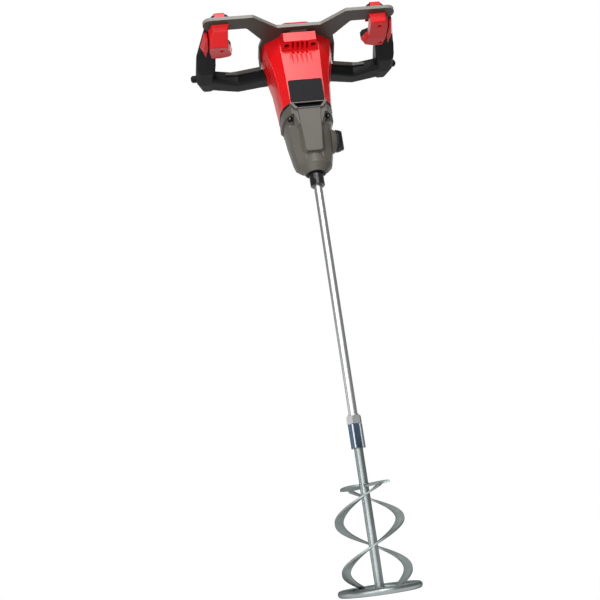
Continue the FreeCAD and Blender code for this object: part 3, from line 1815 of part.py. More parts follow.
grip_names = ("grip_front", "grip_palm", "grip_heel", "grip_end")
grip_form = loft("grip_form", "XZ", [grip_section(name) for name in grip_names])
grip_floor = d.grip_palm_bottom - d.overrun
head_rear = d.head_length - d.head_front
under_cut = prism("grip_under_cut", "YZ", [
    (d.grip_front_y - d.overrun, grip_floor),
    (d.swoop_rear_y, grip_floor),
    (d.swoop_rear_y, d.grip_palm_bottom),
    (head_rear + d.gap, head_top + d.gap),
    (-d.frame_arm_rear + d.gap, head_top + d.gap),
    (-d.frame_arm_rear + d.gap, frame_top + d.gap),
    (d.grip_front_y - d.overrun, frame_top + d.gap),
], d.grip_heel_outer * 2, 0)

trigger_end = d.trigger_back + d.trigger_travel + d.gap
trigger_top = trigger_bottom + d.trigger_height
trigger_room = box(
    "grip_trigger_room",
    (d.trigger_face - d.overrun, d.trigger_front - d.gap, head_top),
    (trigger_end, d.trigger_rear + d.gap, trigger_top + d.gap),
)
switch_top = d.switch_bottom + d.switch_height
switch_end = trigger_end + d.gap + d.switch_length
switch_room = box(
    "grip_switch_room",
    (trigger_end - d.gap, d.switch_front - d.fit, d.switch_bottom - d.fit),
    (switch_end + d.fit, d.switch_rear + d.fit, switch_top + d.fit),
)

bar_chamfer_share = 0.16


def bar_section(name, grow):
    """Eight corners of a rear bar, seen along X, or of the room for it when grown."""
    x = getattr(d, name + "_x")
    front = getattr(d, name + "_front") - grow
    rear = getattr(d, name + "_rear") + grow
    bottom = getattr(d, name + "_bottom") - grow
    top = getattr(d, name + "_top") + grow
    chamfer = (top - bottom) * bar_chamfer_share
    return x, [
        (front + chamfer, bottom),
        (rear - chamfer, bottom),
        (rear, bottom + chamfer),
        (rear, top - chamfer),
        (rear - chamfer, top),
        (front + chamfer, top),
        (front, top - chamfer),
        (front, bottom + chamfer),
    ]


bar_names = ("bar_root", "bar_side", "bar_elbow", "bar_tip")
bar_form = loft("rear_bar_form", "YZ", [bar_section(name, 0) for name in bar_names])
bar_room = loft("grip_bar_room", "YZ", [bar_section(name, d.gap) for name in bar_names])
bar_end_room = box(
    "grip_bar_end_room",
    (d.bar_tip_x - d.gap, d.bar_tip_front - d.gap, d.bar_tip_bottom - d.gap),
    (d.bar_tip_x + d.gap, d.bar_tip_rear + d.gap, d.bar_tip_top + d.gap),
)
grip_rooms = (under_cut, trigger_room, switch_room, bar_room, bar_end_room)
grip_right = node(cut("grip_right", grip_form, *grip_rooms))
node(mirrored("grip_left", grip_right))

# A red cap bent over the front and top of each grip


def grip_top_at(y):
    return along_span(y, (d.grip_front_y, d.grip_front_top), (d.grip_palm_y, d.grip_palm_top)) + d.gap


cap_front = d.grip_front_y - d.gap - d.grip_cap_thickness
cap_bend = cap_front + d.grip_cap_chamfer
grip_cap = prism("grip_cap_right", "YZ", [
    (d.grip_front_y - d.gap, frame_top + d.gap),
    (d.grip_front_y - d.gap, grip_top_at(d.grip_front_y - d.gap)),
    (d.grip_cap_rear, grip_top_at(d.grip_cap_rear)),
    (d.grip_cap_rear - d.grip_cap_thickness, grip_top_at(d.grip_cap_rear) + d.grip_cap_thickness),
    (cap_bend, grip_top_at(cap_bend) + d.grip_cap_thickness),
    (cap_front, grip_top_at(cap_front) + d.grip_cap_thickness - d.grip_cap_chamfer),
    (cap_front, frame_top + d.gap),
], d.grip_cap_outer - d.grip_cap_inner, d.grip_cap_inner)
node(grip_cap)
node(mirrored("grip_cap_left", grip_cap))

# Switch heads: red housings under the frame's ends, with a finger nose below each trigger

head_top_shares = (
    (0.04, 0), (0.8, 0), (0.97, 0.15), (1, 0.6), (0.91, 0.92),
    (0.52, 1), (0.08, 0.955), (-0.09, 0.83), (0.03, 0.67), (0.17, 0.58),
)
head_foot_shares = (
    (0.14, 0.045), (0.75, 0.045), (0.92, 0.18), (0.98, 0.57), (0.92, 0.87),
    (0.49, 0.875), (0.08, 0.81), (-0.01, 0.72), (0.08, 0.57), (0.155, 0.49),
)
panel_top_shares = ((0.02, 0.03), (0.35, 0), (1, 0.66), (0.55, 1), (0.1, 0.6))
panel_foot_shares = ((0, 0.11), (0.22, 0.11), (0.55, 0.46), (0.39, 0.89), (0.05, 0.55))


def hung_form(name, inner, width, front, length, top_shares, foot_shares):
    """A moulding under the frame's end, lofted between two plan outlines."""
    sections = []
    for level, shares in ((d.head_bottom, foot_shares), (head_top, top_shares)):
        points = [(inner + width * across, front + length * along) for across, along in shares]
        sections.append((level, points))
    return loft(name, "XY", sections)


head_form = hung_form(
    "switch_head_form",
    d.head_inner,
    d.head_outer - d.head_inner,
    -d.head_front,
    d.head_length,
    head_top_shares,
    head_foot_shares,
)
panel = node(hung_form(
    "grip_panel_right",
    d.head_outer + d.panel_gap,
    d.panel_width,
    d.panel_front,
    d.panel_length,
    panel_top_shares,
    panel_foot_shares,
))
node(mirrored("grip_panel_left", panel))


def grip_screw(name, x, y):
    """A short screw up into a switch head, and the hole that it is sunk in."""
    seat = d.grip_screw_seat
    shank = cylinder(name + "_shank", d.grip_screw_radius, d.grip_screw_top - seat, (x, y, seat))
    head_bottom = seat - d.grip_screw_head_height
    head = cylinder(name + "_head", d.grip_screw_head_radius, d.grip_screw_head_height, (x, y, head_bottom))
    narrow = cylinder(
        name + "_hole",
        d.grip_screw_radius + d.seat,
        d.grip_screw_top - seat + d.gap,
        (x, y, seat),
    )
    wide_radius = d.grip_screw_head_radius + d.gap
    wide = cylinder(name + "_counterbore", wide_radius, d.overrun, (x, y, seat - d.overrun))
    return fuse(name, shank, head), fuse(name + "_cut", narrow, wide)


screw_left, hole_left = grip_screw("grip_screw_left", -d.grip_screw_left_x, d.grip_screw_left_y)
screw_front, hole_front = grip_screw("grip_screw_front", d.grip_screw_front_x, d.grip_screw_front_y)
screw_rear, hole_rear = grip_screw("grip_screw_rear", d.grip_screw_rear_x, d.grip_screw_rear_y)
node(cut("switch_housing_left", mirrored("switch_head_form_left", head_form), hole_left))
node(cut("switch_housing_right", head_form, hole_front, hole_rear))
node(group("grip_screws", screw_left, screw_front, screw_rear))

trigger_shares = ((1, 0), (1, 1), (0.06, 1), (0, 0.88), (0.1, 0.4), (0.64, 0))
trigger_points = []
for across_share, along_share in trigger_shares:
    trigger_points.append((
        span(d.trigger_face, d.trigger_back, across_share),
        span(d.trigger_front, d.trigger_rear, along_share),
    ))
trigger = node(prism("trigger_right", "XY", trigger_points, d.trigger_height, trigger_bottom))
node(mirrored("trigger_left", trigger))

switch_module = node(box(
    "switch_module_right",
    (trigger_end + d.gap, d.switch_front, d.switch_bottom),
    (switch_end, d.switch_rear, switch_top),
))
node(mirrored("switch_module_left", switch_module))

# Rear bars run from the sides of the motor housing round to the back of the grips

rear_bar = node(cut("rear_bar_right", bar_form, shell_form))
node(mirrored("rear_bar_left", rear_bar))

bumper_length = d.bumper_depth + d.bumper_reach
bumper_form = turned("end_bumper_form", [
    (0, 0),
    (d.bumper_radius, 0),
    (d.bumper_radius, bumper_length - d.bumper_round),
    (d.bumper_radius - d.bumper_round, bumper_length),
    (0, bumper_length),
])
place(bumper_form, (d.grip_heel_outer - d.bumper_depth, d.bumper_y, d.bumper_z), TURNS["x"])
bumper = node(cut("end_bumper_right", bumper_form, grip_form))
node(mirrored("end_bumper_left", bumper))

# Check every object, then write each piece to a file of its own

doc.recompute()
for item in doc.Objects:
    if "Invalid" in item.State or "Error" in item.State:
        raise RuntimeError("%s did not build: %s" % (item.Label, item.State))
for item in NODES:
    if item.Shape.isNull() or not item.Shape.isValid() or not item.Shape.Solids:
        raise RuntimeError("%s has no valid solid" % item.Label)

os.makedirs("parts", exist_ok=True)
for item in NODES:
    item.Shape.exportStep("parts/%s.step" % item.Label)
print("%d pieces written" % len(NODES))
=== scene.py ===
import math

import bmesh
import bpy
from mathutils import Matrix, Vector


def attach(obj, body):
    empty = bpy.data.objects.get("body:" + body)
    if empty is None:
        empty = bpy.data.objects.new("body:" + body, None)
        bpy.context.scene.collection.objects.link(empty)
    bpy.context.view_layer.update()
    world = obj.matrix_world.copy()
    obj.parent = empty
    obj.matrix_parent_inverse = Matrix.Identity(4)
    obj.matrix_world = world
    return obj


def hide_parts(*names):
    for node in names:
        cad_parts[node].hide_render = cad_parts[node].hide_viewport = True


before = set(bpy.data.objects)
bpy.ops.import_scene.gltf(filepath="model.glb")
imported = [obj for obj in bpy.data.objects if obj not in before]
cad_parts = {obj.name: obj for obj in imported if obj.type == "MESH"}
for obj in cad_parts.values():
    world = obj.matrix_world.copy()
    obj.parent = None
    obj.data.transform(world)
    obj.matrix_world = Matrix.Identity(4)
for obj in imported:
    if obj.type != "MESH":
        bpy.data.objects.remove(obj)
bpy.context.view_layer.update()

# Stirrer: a round bar bent into a ring, a flat crossbar, a shaft, two flat strips twisted into a helix
# and two leaf blades, all mild steel welded together and then hot-dip galvanised.


def linear(code):
    """An sRGB hex colour as linear red, green, blue and alpha."""
    parts = [int(code[place:place + 2], 16) / 255 for place in (1, 3, 5)]
    return [part / 12.92 if part <= 0.04045 else ((part + 0.055) / 1.055) ** 2.4 for part in parts] + [1]


def add(material, kind, values, links=()):
    """Add a node to a material: values go to its sockets or settings, links feed its sockets."""
    made = material.node_tree.nodes.new("ShaderNode" + kind)
    for name, value in values.items():
        if isinstance(name, str) and name not in made.inputs:
            setattr(made, name, value)
        else:
            made.inputs[name].default_value = value
    for name, source in links:
        material.node_tree.links.new(source, made.inputs[name])
    return made


def grain(size_mm):
    """The scale of a texture whose grain has this size, for coordinates in metres."""
    return 1000 / size_mm


def new_surface(name):
    """A material with an empty tree, and the object's own coordinates in it."""
    material = bpy.data.materials.new(name)
    material.use_nodes = True
    material.node_tree.nodes.clear()
    place = add(material, "TexCoord", {})
    return material, place.outputs["Object"]


def shade(material, values, links):
    """End a material with its shader: values that hold all over, and links to what varies."""
    shader = add(material, "BsdfPrincipled", values, links)
    add(material, "OutputMaterial", {}, [("Surface", shader.outputs["BSDF"])])


def dress(material, slot, *names):
    """Give CAD pieces a material in place of the one they came with."""
    for name in names:
        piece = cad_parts[name]
        piece.data.materials.clear()
        piece.data.materials.append(material)


def soften(*names, width_mm, steps):
    """Round the sharp edges of CAD pieces, as a mould or a tumbler leaves them."""
    for name in names:
        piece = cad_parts[name]
        weld = piece.modifiers.new("weld", "WELD")
        weld.merge_threshold = 0.00001
        flat = piece.modifiers.new("flat", "DECIMATE")
        flat.decimate_type = "DISSOLVE"
        flat.angle_limit = math.radians(0.4)
        edge = piece.modifiers.new("edge", "BEVEL")
        edge.width = width_mm / 1000
        edge.segments = steps
        edge.limit_method = "ANGLE"
        edge.angle_limit = math.radians(24)
        edge.harden_normals = True
        for face in piece.data.polygons:
            face.use_smooth = True
        smooth = piece.modifiers.new("smooth", "WEIGHTED_NORMAL")
        smooth.keep_sharp = True


# Hot-dip galvanised steel: a satin grey-green coat with faint spangle, duller towards the edges of each
# spangle.
# The skin of the zinc is finer than 0.8 mm, and is drawn that coarse so that it shows.
galvanised, place = new_surface("hot_dip_galvanised_steel")
spangle = add(galvanised, "TexVoronoi", {"Scale": grain(5)}, [("Vector", place)])
cloud = add(galvanised, "TexNoise", {"Scale": grain(22), "Detail": 5}, [("Vector", place)])
tone = add(galvanised, "Mix", {"data_type": "RGBA", 6: linear("#879190"), 7: linear("#a5adab")},
           [(0, cloud.outputs["Fac"])])
dull = add(galvanised, "MapRange", {"To Min": 0.36, "To Max": 0.52}, [("Value", spangle.outputs["Distance"])])
rough = add(galvanised, "TexNoise", {"Scale": grain(0.8), "Detail": 3}, [("Vector", place)])
bump = add(galvanised, "Bump", {"Strength": 0.12, "Distance": 0.0002}, [("Height", rough.outputs["Fac"])])
shade(galvanised, {"Metallic": 1, "Specular Tint": linear("#a8a8a8")},
      [("Base Color", tone.outputs[2]), ("Roughness", dull.outputs[0]), ("Normal", bump.outputs[0])])
flat_bars = ("ring_crossbar", "helix_strip_a", "helix_strip_b", "helix_blade_a", "helix_blade_b")
dress(galvanised, "plated_steel", *flat_bars)
soften(*flat_bars, width_mm=0.4, steps=2)

# Zinc on drawn round bar: smoother than on the strips, with long soft highlights and dark flanks. The flanks
# are partly painted shade: a specular tint darker than the base colour darkens the grazing reflection
zinc_bar, place = new_surface("zinc_coated_drawn_bar")
cloud = add(zinc_bar, "TexNoise", {"Scale": grain(18), "Detail": 5}, [("Vector", place)])
tone = add(zinc_bar, "Mix", {"data_type": "RGBA", 6: linear("#959d9d"), 7: linear("#acb2b2")},
           [(0, cloud.outputs["Fac"])])
polish = add(zinc_bar, "MapRange", {"To Min": 0.32, "To Max": 0.4}, [("Value", cloud.outputs["Fac"])])
shade(zinc_bar, {"Metallic": 1, "Specular Tint": linear("#767a7a")},
      [("Base Color", tone.outputs[2]), ("Roughness", polish.outputs[0])])
round_bars = ("stirrer_ring", "stirrer_shaft")
dress(zinc_bar, "plated_steel", *round_bars)
soften(*round_bars, width_mm=0.3, steps=2)

# Weld beads: short runs of weld metal, laid by hand in overlapping ripples where the bars, strips and
# blades of the stirrer meet, and galvanised with them.


def metres(spot):
    """A point given in millimetres, in Blender's metres."""
    return Vector(spot) / 1000


def round_about(radius_mm, degrees, z_mm):
    """A point at a radius, an angle and a height on the stirrer, in metres."""
    angle = math.radians(degrees)
    return metres((radius_mm * math.cos(angle), radius_mm * math.sin(angle), z_mm))


def bridge(shape, first, second):
    """Join two closed rows, with the same number of corners, by four-sided faces."""
    for side in range(len(first)):
        after = (side + 1) % len(first)
        shape.faces.new((first[side], first[after], second[after], second[side]))


def lay_bead(shape, start, end, width_mm):
    """Weld metal from start to end, both (radius, angle, height), as a row of ripples that taper off."""
    sides, ripple_mm, steps_in_ripple, fewest_steps = 10, 1.6, 4, 6
    ripple_share, tip_share = 0.14, 0.02
    straight = (round_about(*end) - round_about(*start)).length
    curved = math.radians(abs(end[1] - start[1])) * start[0] / 1000
    steps = max(fewest_steps, round(max(straight, curved) * 1000 / ripple_mm) * steps_in_ripple)
    middle = [round_about(*[first + (last - first) * step / steps for first, last in zip(start, end)])
              for step in range(steps + 1)]
    loops = []
    for step, centre in enumerate(middle):
        along = (middle[min(step + 1, steps)] - middle[max(step - 1, 0)]).normalized()
        out = along.cross(Vector((0, 0, 1))).normalized()
        up = out.cross(along)
        taper = math.sqrt(max(1 - (2 * step / steps - 1) ** 4, tip_share))
        ripple = 1 + ripple_share * math.cos(math.tau * step / steps_in_ripple)
        thick = width_mm / 2000 * taper * ripple
        turns = [math.tau * side / sides for side in range(sides)]
        loops.append([shape.verts.new(centre + (out * math.cos(turn) + up * math.sin(turn)) * thick)
                      for turn in turns])
    for low, high in zip(loops, loops[1:]):
        bridge(shape, low, high)
    shape.faces.new(reversed(loops[0]))
    shape.faces.new(loops[-1])


def mesh_of(name, shape):
    """A shape that was built face by face, as a mesh."""
    mesh = bpy.data.meshes.new(name)
    shape.to_mesh(mesh)
    shape.free()
    return mesh


def new_piece(name, mesh, material, body, smooth=True):
    """A new mesh as a piece of the object, with its finish and the body that it moves with."""
    piece = bpy.data.objects.new(name, mesh)
    bpy.context.scene.collection.objects.link(piece)
    mesh.materials.append(material)
    for face in mesh.polygons:
        face.use_smooth = smooth
    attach(piece, body)
    return piece


# Angles in degrees about the shaft; radii, levels and widths in millimetres
strip_start, strip_end, blade_angle = -63.7, 290.8, 307
crossbar_hug, blade_hug, ring_hug = 60, 55, 7
shaft_skin, ring_inside = 7.2, 53.3
strip_inside, foot_outside, tip_outside = 40.5, 51.5, 51
foot_skew_inside, foot_skew_outside = -0.6, -0.4
tip_skew_inside, tip_skew_outside = 3, 2
crossbar_level, ring_level, foot_level, blade_level, tip_level = 7.4, 7.2, 7.6, 157.7, 153.4
wide_bead, narrow_bead = 2.6, 2.4
welds = bmesh.new()
for half_turn in (0, 180):
    foot = strip_start + half_turn
    blade = blade_angle + half_turn
    tip = strip_end + half_turn
    lay_bead(welds, (shaft_skin, foot - crossbar_hug, crossbar_level),
             (shaft_skin, foot + crossbar_hug, crossbar_level), wide_bead)
    lay_bead(welds, (ring_inside, foot - ring_hug, ring_level),
             (ring_inside, foot + ring_hug, ring_level), wide_bead)
    lay_bead(welds, (strip_inside, foot + foot_skew_inside, foot_level),
             (foot_outside, foot + foot_skew_outside, foot_level), narrow_bead)
    lay_bead(welds, (shaft_skin, blade - blade_hug, blade_level),
             (shaft_skin, blade + blade_hug, blade_level), narrow_bead)
    lay_bead(welds, (strip_inside, tip + tip_skew_inside, tip_level),
             (tip_outside, tip + tip_skew_outside, tip_level), wide_bead)
new_piece("weld_beads", mesh_of("weld_beads", welds), galvanised, "stirring_spindle")

# Coupling: a long hexagon nut and a lock nut, milled from bar and screwed on the M14 ends of the two rods.
# The long nut is zinc plated.

# Blue-passivated zinc plate: bright steel with a cold tint and faint smears. Its colour turns near white on
# the corners of the hexagon, as a painted highlight along the edges
highlight_from_mm, highlight_to_mm = 11.4, 11.7
blue_zinc, place = new_surface("blue_zinc_plated_steel")
smear = add(blue_zinc, "TexNoise", {"Scale": grain(9), "Detail": 4}, [("Vector", place)])
tone = add(blue_zinc, "Mix", {"data_type": "RGBA", 6: linear("#3d4c5d"), 7: linear("#55677a")},
           [(0, smear.outputs["Fac"])])
polish = add(blue_zinc, "MapRange", {"To Min": 0.14, "To Max": 0.28}, [("Value", smear.outputs["Fac"])])
# Painted highlight: past 11.4 mm from the axis, on the hexagon's corners, the colour is mixed to near white
level = add(blue_zinc, "VectorMath", {"operation": "MULTIPLY", 1: (1, 1, 0)}, [(0, place)])
reach = add(blue_zinc, "VectorMath", {"operation": "LENGTH"}, [(0, level.outputs[0])])
corner = add(blue_zinc, "MapRange", {"From Min": highlight_from_mm / 1000, "From Max": highlight_to_mm / 1000},
             [("Value", reach.outputs["Value"])])
tone = add(blue_zinc, "Mix", {"data_type": "RGBA", 7: linear("#f4f8fb")},
           [(0, corner.outputs[0]), (6, tone.outputs[2])])
shade(blue_zinc, {"Metallic": 1}, [("Base Color", tone.outputs[2]), ("Roughness", polish.outputs[0])])
dress(blue_zinc, "coupling_steel", "coupling_nut")
soften("coupling_nut", "lock_nut", width_mm=1.5, steps=4)

# Upper rod: a bar of bright drawn steel with an M14 end and a turned collar, screwed into the spindle. The
# lock nut below it is left as bright as the rod.

# Bright drawn steel: pale and smooth, with lines along the bar. The real lines are far finer than 0.9 mm,
# and are drawn that coarse so that they show. A specular tint far darker than the base colour darkens the
# bar's flanks as painted shade
drawn_steel, place = new_surface("bright_drawn_steel")
stretch = add(drawn_steel, "Mapping", {"Scale": (1, 1, 0.02)}, [("Vector", place)])
lines = add(drawn_steel, "TexNoise", {"Scale": grain(0.9), "Detail": 3}, [("Vector", stretch.outputs[0])])
tone = add(drawn_steel, "Mix", {"data_type": "RGBA", 6: linear("#d2d5d4"), 7: linear("#e4e6e4")},
           [(0, lines.outputs["Fac"])])
polish = add(drawn_steel, "MapRange", {"To Min": 0.26, "To Max": 0.38}, [("Value", lines.outputs["Fac"])])
shade(drawn_steel, {"Metallic": 1, "Specular Tint": linear("#5a5a5a")},
      [("Base Color", tone.outputs[2]), ("Roughness", polish.outputs[0])])
dress(drawn_steel, "plated_steel", "upper_rod", "lock_nut")
soften("upper_rod", width_mm=0.5, steps=2)

# Spindle and screws: the spindle is a turned steel shaft with two wrench flats, which runs in a bearing in
# the casting. It is blackened, and so are the headed steel screws of the housings, frame and grips.

# Black oxide on turned steel: deep black with a soft gleam
black_oxide, place = new_surface("black_oxide_steel")
smear = add(black_oxide, "TexNoise", {"Scale": grain(6), "Detail": 4}, [("Vector", place)])
tone = add(black_oxide, "Mix", {"data_type": "RGBA", 6: linear("#0c0c0e"), 7: linear("#151518")},
           [(0, smear.outputs["Fac"])])
polish = add(black_oxide, "MapRange", {"To Min": 0.14, "To Max": 0.24}, [("Value", smear.outputs["Fac"])])
shade(black_oxide, {"Specular IOR Level": 0.8},
      [("Base Color", tone.outputs[2]), ("Roughness", polish.outputs[0])])
dress(black_oxide, "black_steel", "spindle")
dress(black_oxide, "screw_steel", "gear_housing_screws", "shell_screws", "frame_screws", "grip_screws")
soften("spindle", width_mm=0.4, steps=2)

# Nose seal: a ring of nitrile rubber, moulded and pressed into the casting's nose, where it keeps the
# grease in round the spindle.

# Nitrile rubber: dead black and matt, with a faint bloom
nitrile, place = new_surface("moulded_nitrile_rubber")
bloom = add(nitrile, "TexNoise", {"Scale": grain(3), "Detail": 5}, [("Vector", place)])
tone = add(nitrile, "Mix", {"data_type": "RGBA", 6: linear("#121214"), 7: linear("#1e1e20")},
           [(0, bloom.outputs["Fac"])])
shade(nitrile, {"Roughness": 0.62, "Specular IOR Level": 0.2}, [("Base Color", tone.outputs[2])])
dress(nitrile, "seal_rubber", "nose_seal")

# Gasket: a nitrile sheet cut to the housing's outline and squeezed between the two housings, so that its
# edge bulges a little past the joint. It stays flat where it passes over the outlet.

gasket_bulge_mm, gasket_middle_mm, gasket_swell = 0.8, 798.25, 1.9
outlet_half_mm, outlet_rear_mm = 33, -20
gasket_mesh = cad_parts["housing_gasket"].data.copy()
gasket_mesh.materials.clear()
for corner in gasket_mesh.vertices:
    flat = Vector((corner.co.x, corner.co.y, 0))
    corner.co += flat.normalized() * gasket_bulge_mm / 1000
    if abs(corner.co.x) * 1000 > outlet_half_mm or corner.co.y * 1000 > outlet_rear_mm:
        middle = gasket_middle_mm / 1000
        corner.co.z = middle + (corner.co.z - middle) * gasket_swell
gasket = new_piece("squeezed_gasket", gasket_mesh, nitrile, "machine", smooth=False)
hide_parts("housing_gasket")

# Gear housing: an aluminium die casting, painted grey, with the gears inside. The bearing plate and the
# motor's end plate are castings too, bolted in where nothing shows them.

# Grey stoving paint on die-cast aluminium: warm taupe, satin, with a fine orange peel
grey_paint, place = new_surface("grey_stoved_paint_on_die_casting")
cloud = add(grey_paint, "TexNoise", {"Scale": grain(30), "Detail": 4}, [("Vector", place)])
tone = add(grey_paint, "Mix", {"data_type": "RGBA", 6: linear("#5a5650"), 7: linear("#645f58")},
           [(0, cloud.outputs["Fac"])])
peel = add(grey_paint, "TexNoise", {"Scale": grain(1.6), "Detail": 2}, [("Vector", place)])
bump = add(grey_paint, "Bump", {"Strength": 0.1, "Distance": 0.0002}, [("Height", peel.outputs["Fac"])])
shade(grey_paint, {"Roughness": 0.43, "Specular IOR Level": 0.38},
      [("Base Color", tone.outputs[2]), ("Normal", bump.outputs[0])])
dress(grey_paint, "grey_casting", "gear_housing", "bearing_plate", "motor_end_plate")
soften("gear_housing", width_mm=1.2, steps=3)

# Black mouldings: the selector knob on the side of the gear housing, the fan, the battery shoe, the triggers
# and their switches. They are injection moulded in glass-filled nylon, and clipped or screwed in.

# Black glass-filled nylon: a dark grey-black moulding with a spark-eroded grain. The real grain is finer
# than 1.1 mm, and is drawn that coarse so that it shows.
black_nylon, place = new_surface("moulded_glass_filled_nylon")
cloud = add(black_nylon, "TexNoise", {"Scale": grain(25), "Detail": 4}, [("Vector", place)])
tone = add(black_nylon, "Mix", {"data_type": "RGBA", 6: linear("#0d0d0f"), 7: linear("#151518")},
           [(0, cloud.outputs["Fac"])])
erosion = add(black_nylon, "TexNoise", {"Scale": grain(1.1), "Detail": 3}, [("Vector", place)])
bump = add(black_nylon, "Bump", {"Strength": 0.15, "Distance": 0.0002}, [("Height", erosion.outputs["Fac"])])
shade(black_nylon, {"Roughness": 0.46, "Specular IOR Level": 0.3},
      [("Base Color", tone.outputs[2]), ("Normal", bump.outputs[0])])
dress(black_nylon, "black_moulding", "selector_knob", "cooling_fan", "battery_shoe",
      "trigger_left", "trigger_right", "switch_module_left", "switch_module_right")
soften("selector_knob", "battery_shoe", "trigger_left", "trigger_right", width_mm=0.8, steps=3)

# Outlet mouth: a nylon lip, moulded with the grille and clipped into the cast opening, that lines it from
# the grille to the front and ends there in a flat flange. Lip and flange are painted shade: dead black, they
# stand for the shadow in the opening and widen its dark mouth past the cut.

# Matt black nylon with a coarse spark-eroded skin, darker than the other black mouldings: painted shade for
# the shadow inside the outlet and behind the vents
shade_black_nylon, place = new_surface("dead_black_nylon_as_painted_shade")
cloud = add(shade_black_nylon, "TexNoise", {"Scale": grain(4), "Detail": 4}, [("Vector", place)])
tone = add(shade_black_nylon, "Mix", {"data_type": "RGBA", 6: linear("#070708"), 7: linear("#0c0c0d")},
           [(0, cloud.outputs["Fac"])])
shade(shade_black_nylon, {"Roughness": 0.75, "Specular IOR Level": 0.08}, [("Base Color", tone.outputs[2])])
# Painted shade: the grille inside the outlet takes the dead black too
dress(shade_black_nylon, "black_moulding", "outlet_grille")

# The throat and the flange each have a half width and a level, first at the foot and then at the top
throat, flange = ((21, 789.5), (24.5, 794)), ((19.5, 787), (26, 795))
flange_front, flange_back, throat_back = -39.5, -39.02, -35.1
lip_gap, lip_mm = 0.05, 0.5
lip_inside = lip_gap + lip_mm
mouth = bmesh.new()
rings = []
for (foot, top), inset, y in (
        (flange, 0, flange_back), (flange, 0, flange_front), (throat, lip_inside, flange_front),
        (throat, lip_inside, throat_back), (throat, lip_gap, throat_back), (throat, lip_gap, flange_back)):
    foot_x, foot_z, top_x, top_z = foot[0] - inset, foot[1] + inset, top[0] - inset, top[1] - inset
    rings.append([mouth.verts.new(metres(spot)) for spot in (
        (-foot_x, y, foot_z), (foot_x, y, foot_z), (top_x, y, top_z), (-top_x, y, top_z))])
for first, second in zip(rings, rings[1:] + rings[:1]):
    bridge(mouth, first, second)
bmesh.ops.recalc_face_normals(mouth, faces=mouth.faces)
mouth_mesh = mesh_of("outlet_mouth", mouth)
new_piece("outlet_mouth", mouth_mesh, shade_black_nylon, "machine", smooth=False)

# Knob skirt: the selector knob's own rim, moulded with shallow flutes for the fingers, that runs down over
# the cast boss and turns with the knob.

# The profile goes round the rim's section, as distance out along X and radius about the knob's axis
skirt_profile = ((43.2, 18.6), (43, 19.2), (43.4, 19.7), (47, 18.9), (50.8, 17.9), (51.2, 17.3), (46.5, 17.2))
fluted_points = (2, 3, 4)
knob_y, knob_z = 2, 738
skirt_flutes, skirt_flute_mm, steps_in_flute = 28, 0.35, 6
around = skirt_flutes * steps_in_flute
skirt = bmesh.new()
rows = []
for step in range(around):
    turn = 2 * math.pi * step / around
    swell = skirt_flute_mm * (math.cos(skirt_flutes * turn) - 1) / 2
    row = []
    for point, (x, radius) in enumerate(skirt_profile):
        out = radius + (swell if point in fluted_points else 0)
        row.append(skirt.verts.new(metres((x, knob_y + out * math.cos(turn), knob_z + out * math.sin(turn)))))
    rows.append(row)
for row, following in zip(rows, rows[1:] + rows[:1]):
    bridge(skirt, row, following)
bmesh.ops.recalc_face_normals(skirt, faces=skirt.faces)
new_piece("knob_skirt", mesh_of("knob_skirt", skirt), black_nylon, "speed_knob")

# Gears, shafts, bearings and laminations: hobbed and ground steel gears on their shafts, ball bearings
# pressed into the castings, and the motor's stacks of punched sheet. The housings hide them all.

# Ground gear steel: grey and even, with the wheel's marks. They are far finer than 1.5 mm, and are drawn
# that coarse so that they show.
gear_steel, place = new_surface("ground_gear_steel")
marks = add(gear_steel, "TexNoise", {"Scale": grain(1.5), "Detail": 3}, [("Vector", place)])
tone = add(gear_steel, "Mix", {"data_type": "RGBA", 6: linear("#8a8a8a"), 7: linear("#b0b0ae")},
           [(0, marks.outputs["Fac"])])
shade(gear_steel, {"Metallic": 1, "Roughness": 0.3}, [("Base Color", tone.outputs[2])])
dress(gear_steel, "gear_steel", "output_gear", "layshaft", "layshaft_gear", "rotor_shaft")
dress(gear_steel, "bearing_steel", "spindle_bearing", "layshaft_bearings", "rotor_bearings")
dress(gear_steel, "lamination_steel", "rotor_core", "stator_core")

# Windings, bush and terminals: copper wire wound on the stator, a brass bush pressed into the bearing plate
# round the spindle's tail, and brass contacts set in the battery shoe.

# Copper alloy: warm and lightly tarnished
copper, place = new_surface("drawn_copper_alloy")
tarnish = add(copper, "TexNoise", {"Scale": grain(2), "Detail": 4}, [("Vector", place)])
tone = add(copper, "Mix", {"data_type": "RGBA", 6: linear("#a5623a"), 7: linear("#c9895a")},
           [(0, tarnish.outputs["Fac"])])
shade(copper, {"Metallic": 1, "Roughness": 0.35}, [("Base Color", tone.outputs[2])])
dress(copper, "copper_winding", "stator_coils")
dress(copper, "brass_contact", "spindle_bush", "battery_terminals")

# Motor housing: two shells injection moulded in red ABS and screwed together from behind. The panels and
# caps of the grips are moulded in the same red.

# Red ABS: bright signal red with a satin mould finish. Its spark-eroded grain is finer than 1.2 mm, and is
# drawn that coarse so that it shows.
red_abs, place = new_surface("moulded_red_abs")
cloud = add(red_abs, "TexNoise", {"Scale": grain(40), "Detail": 3}, [("Vector", place)])
tone = add(red_abs, "Mix", {"data_type": "RGBA", 6: linear("#de1117"), 7: linear("#e6151b")},
           [(0, cloud.outputs["Fac"])])
erosion = add(red_abs, "TexNoise", {"Scale": grain(1.2), "Detail": 2}, [("Vector", place)])
bump = add(red_abs, "Bump", {"Strength": 0.08, "Distance": 0.0002}, [("Height", erosion.outputs["Fac"])])
shade(red_abs, {"Roughness": 0.31, "Specular IOR Level": 0.3},
      [("Base Color", tone.outputs[2]), ("Normal", bump.outputs[0])])
shells = ("motor_housing_front", "motor_housing_rear")
grip_trim = ("grip_panel_left", "grip_panel_right", "grip_cap_left", "grip_cap_right")
dress(red_abs, "red_moulding", *shells, "top_cap", *grip_trim)
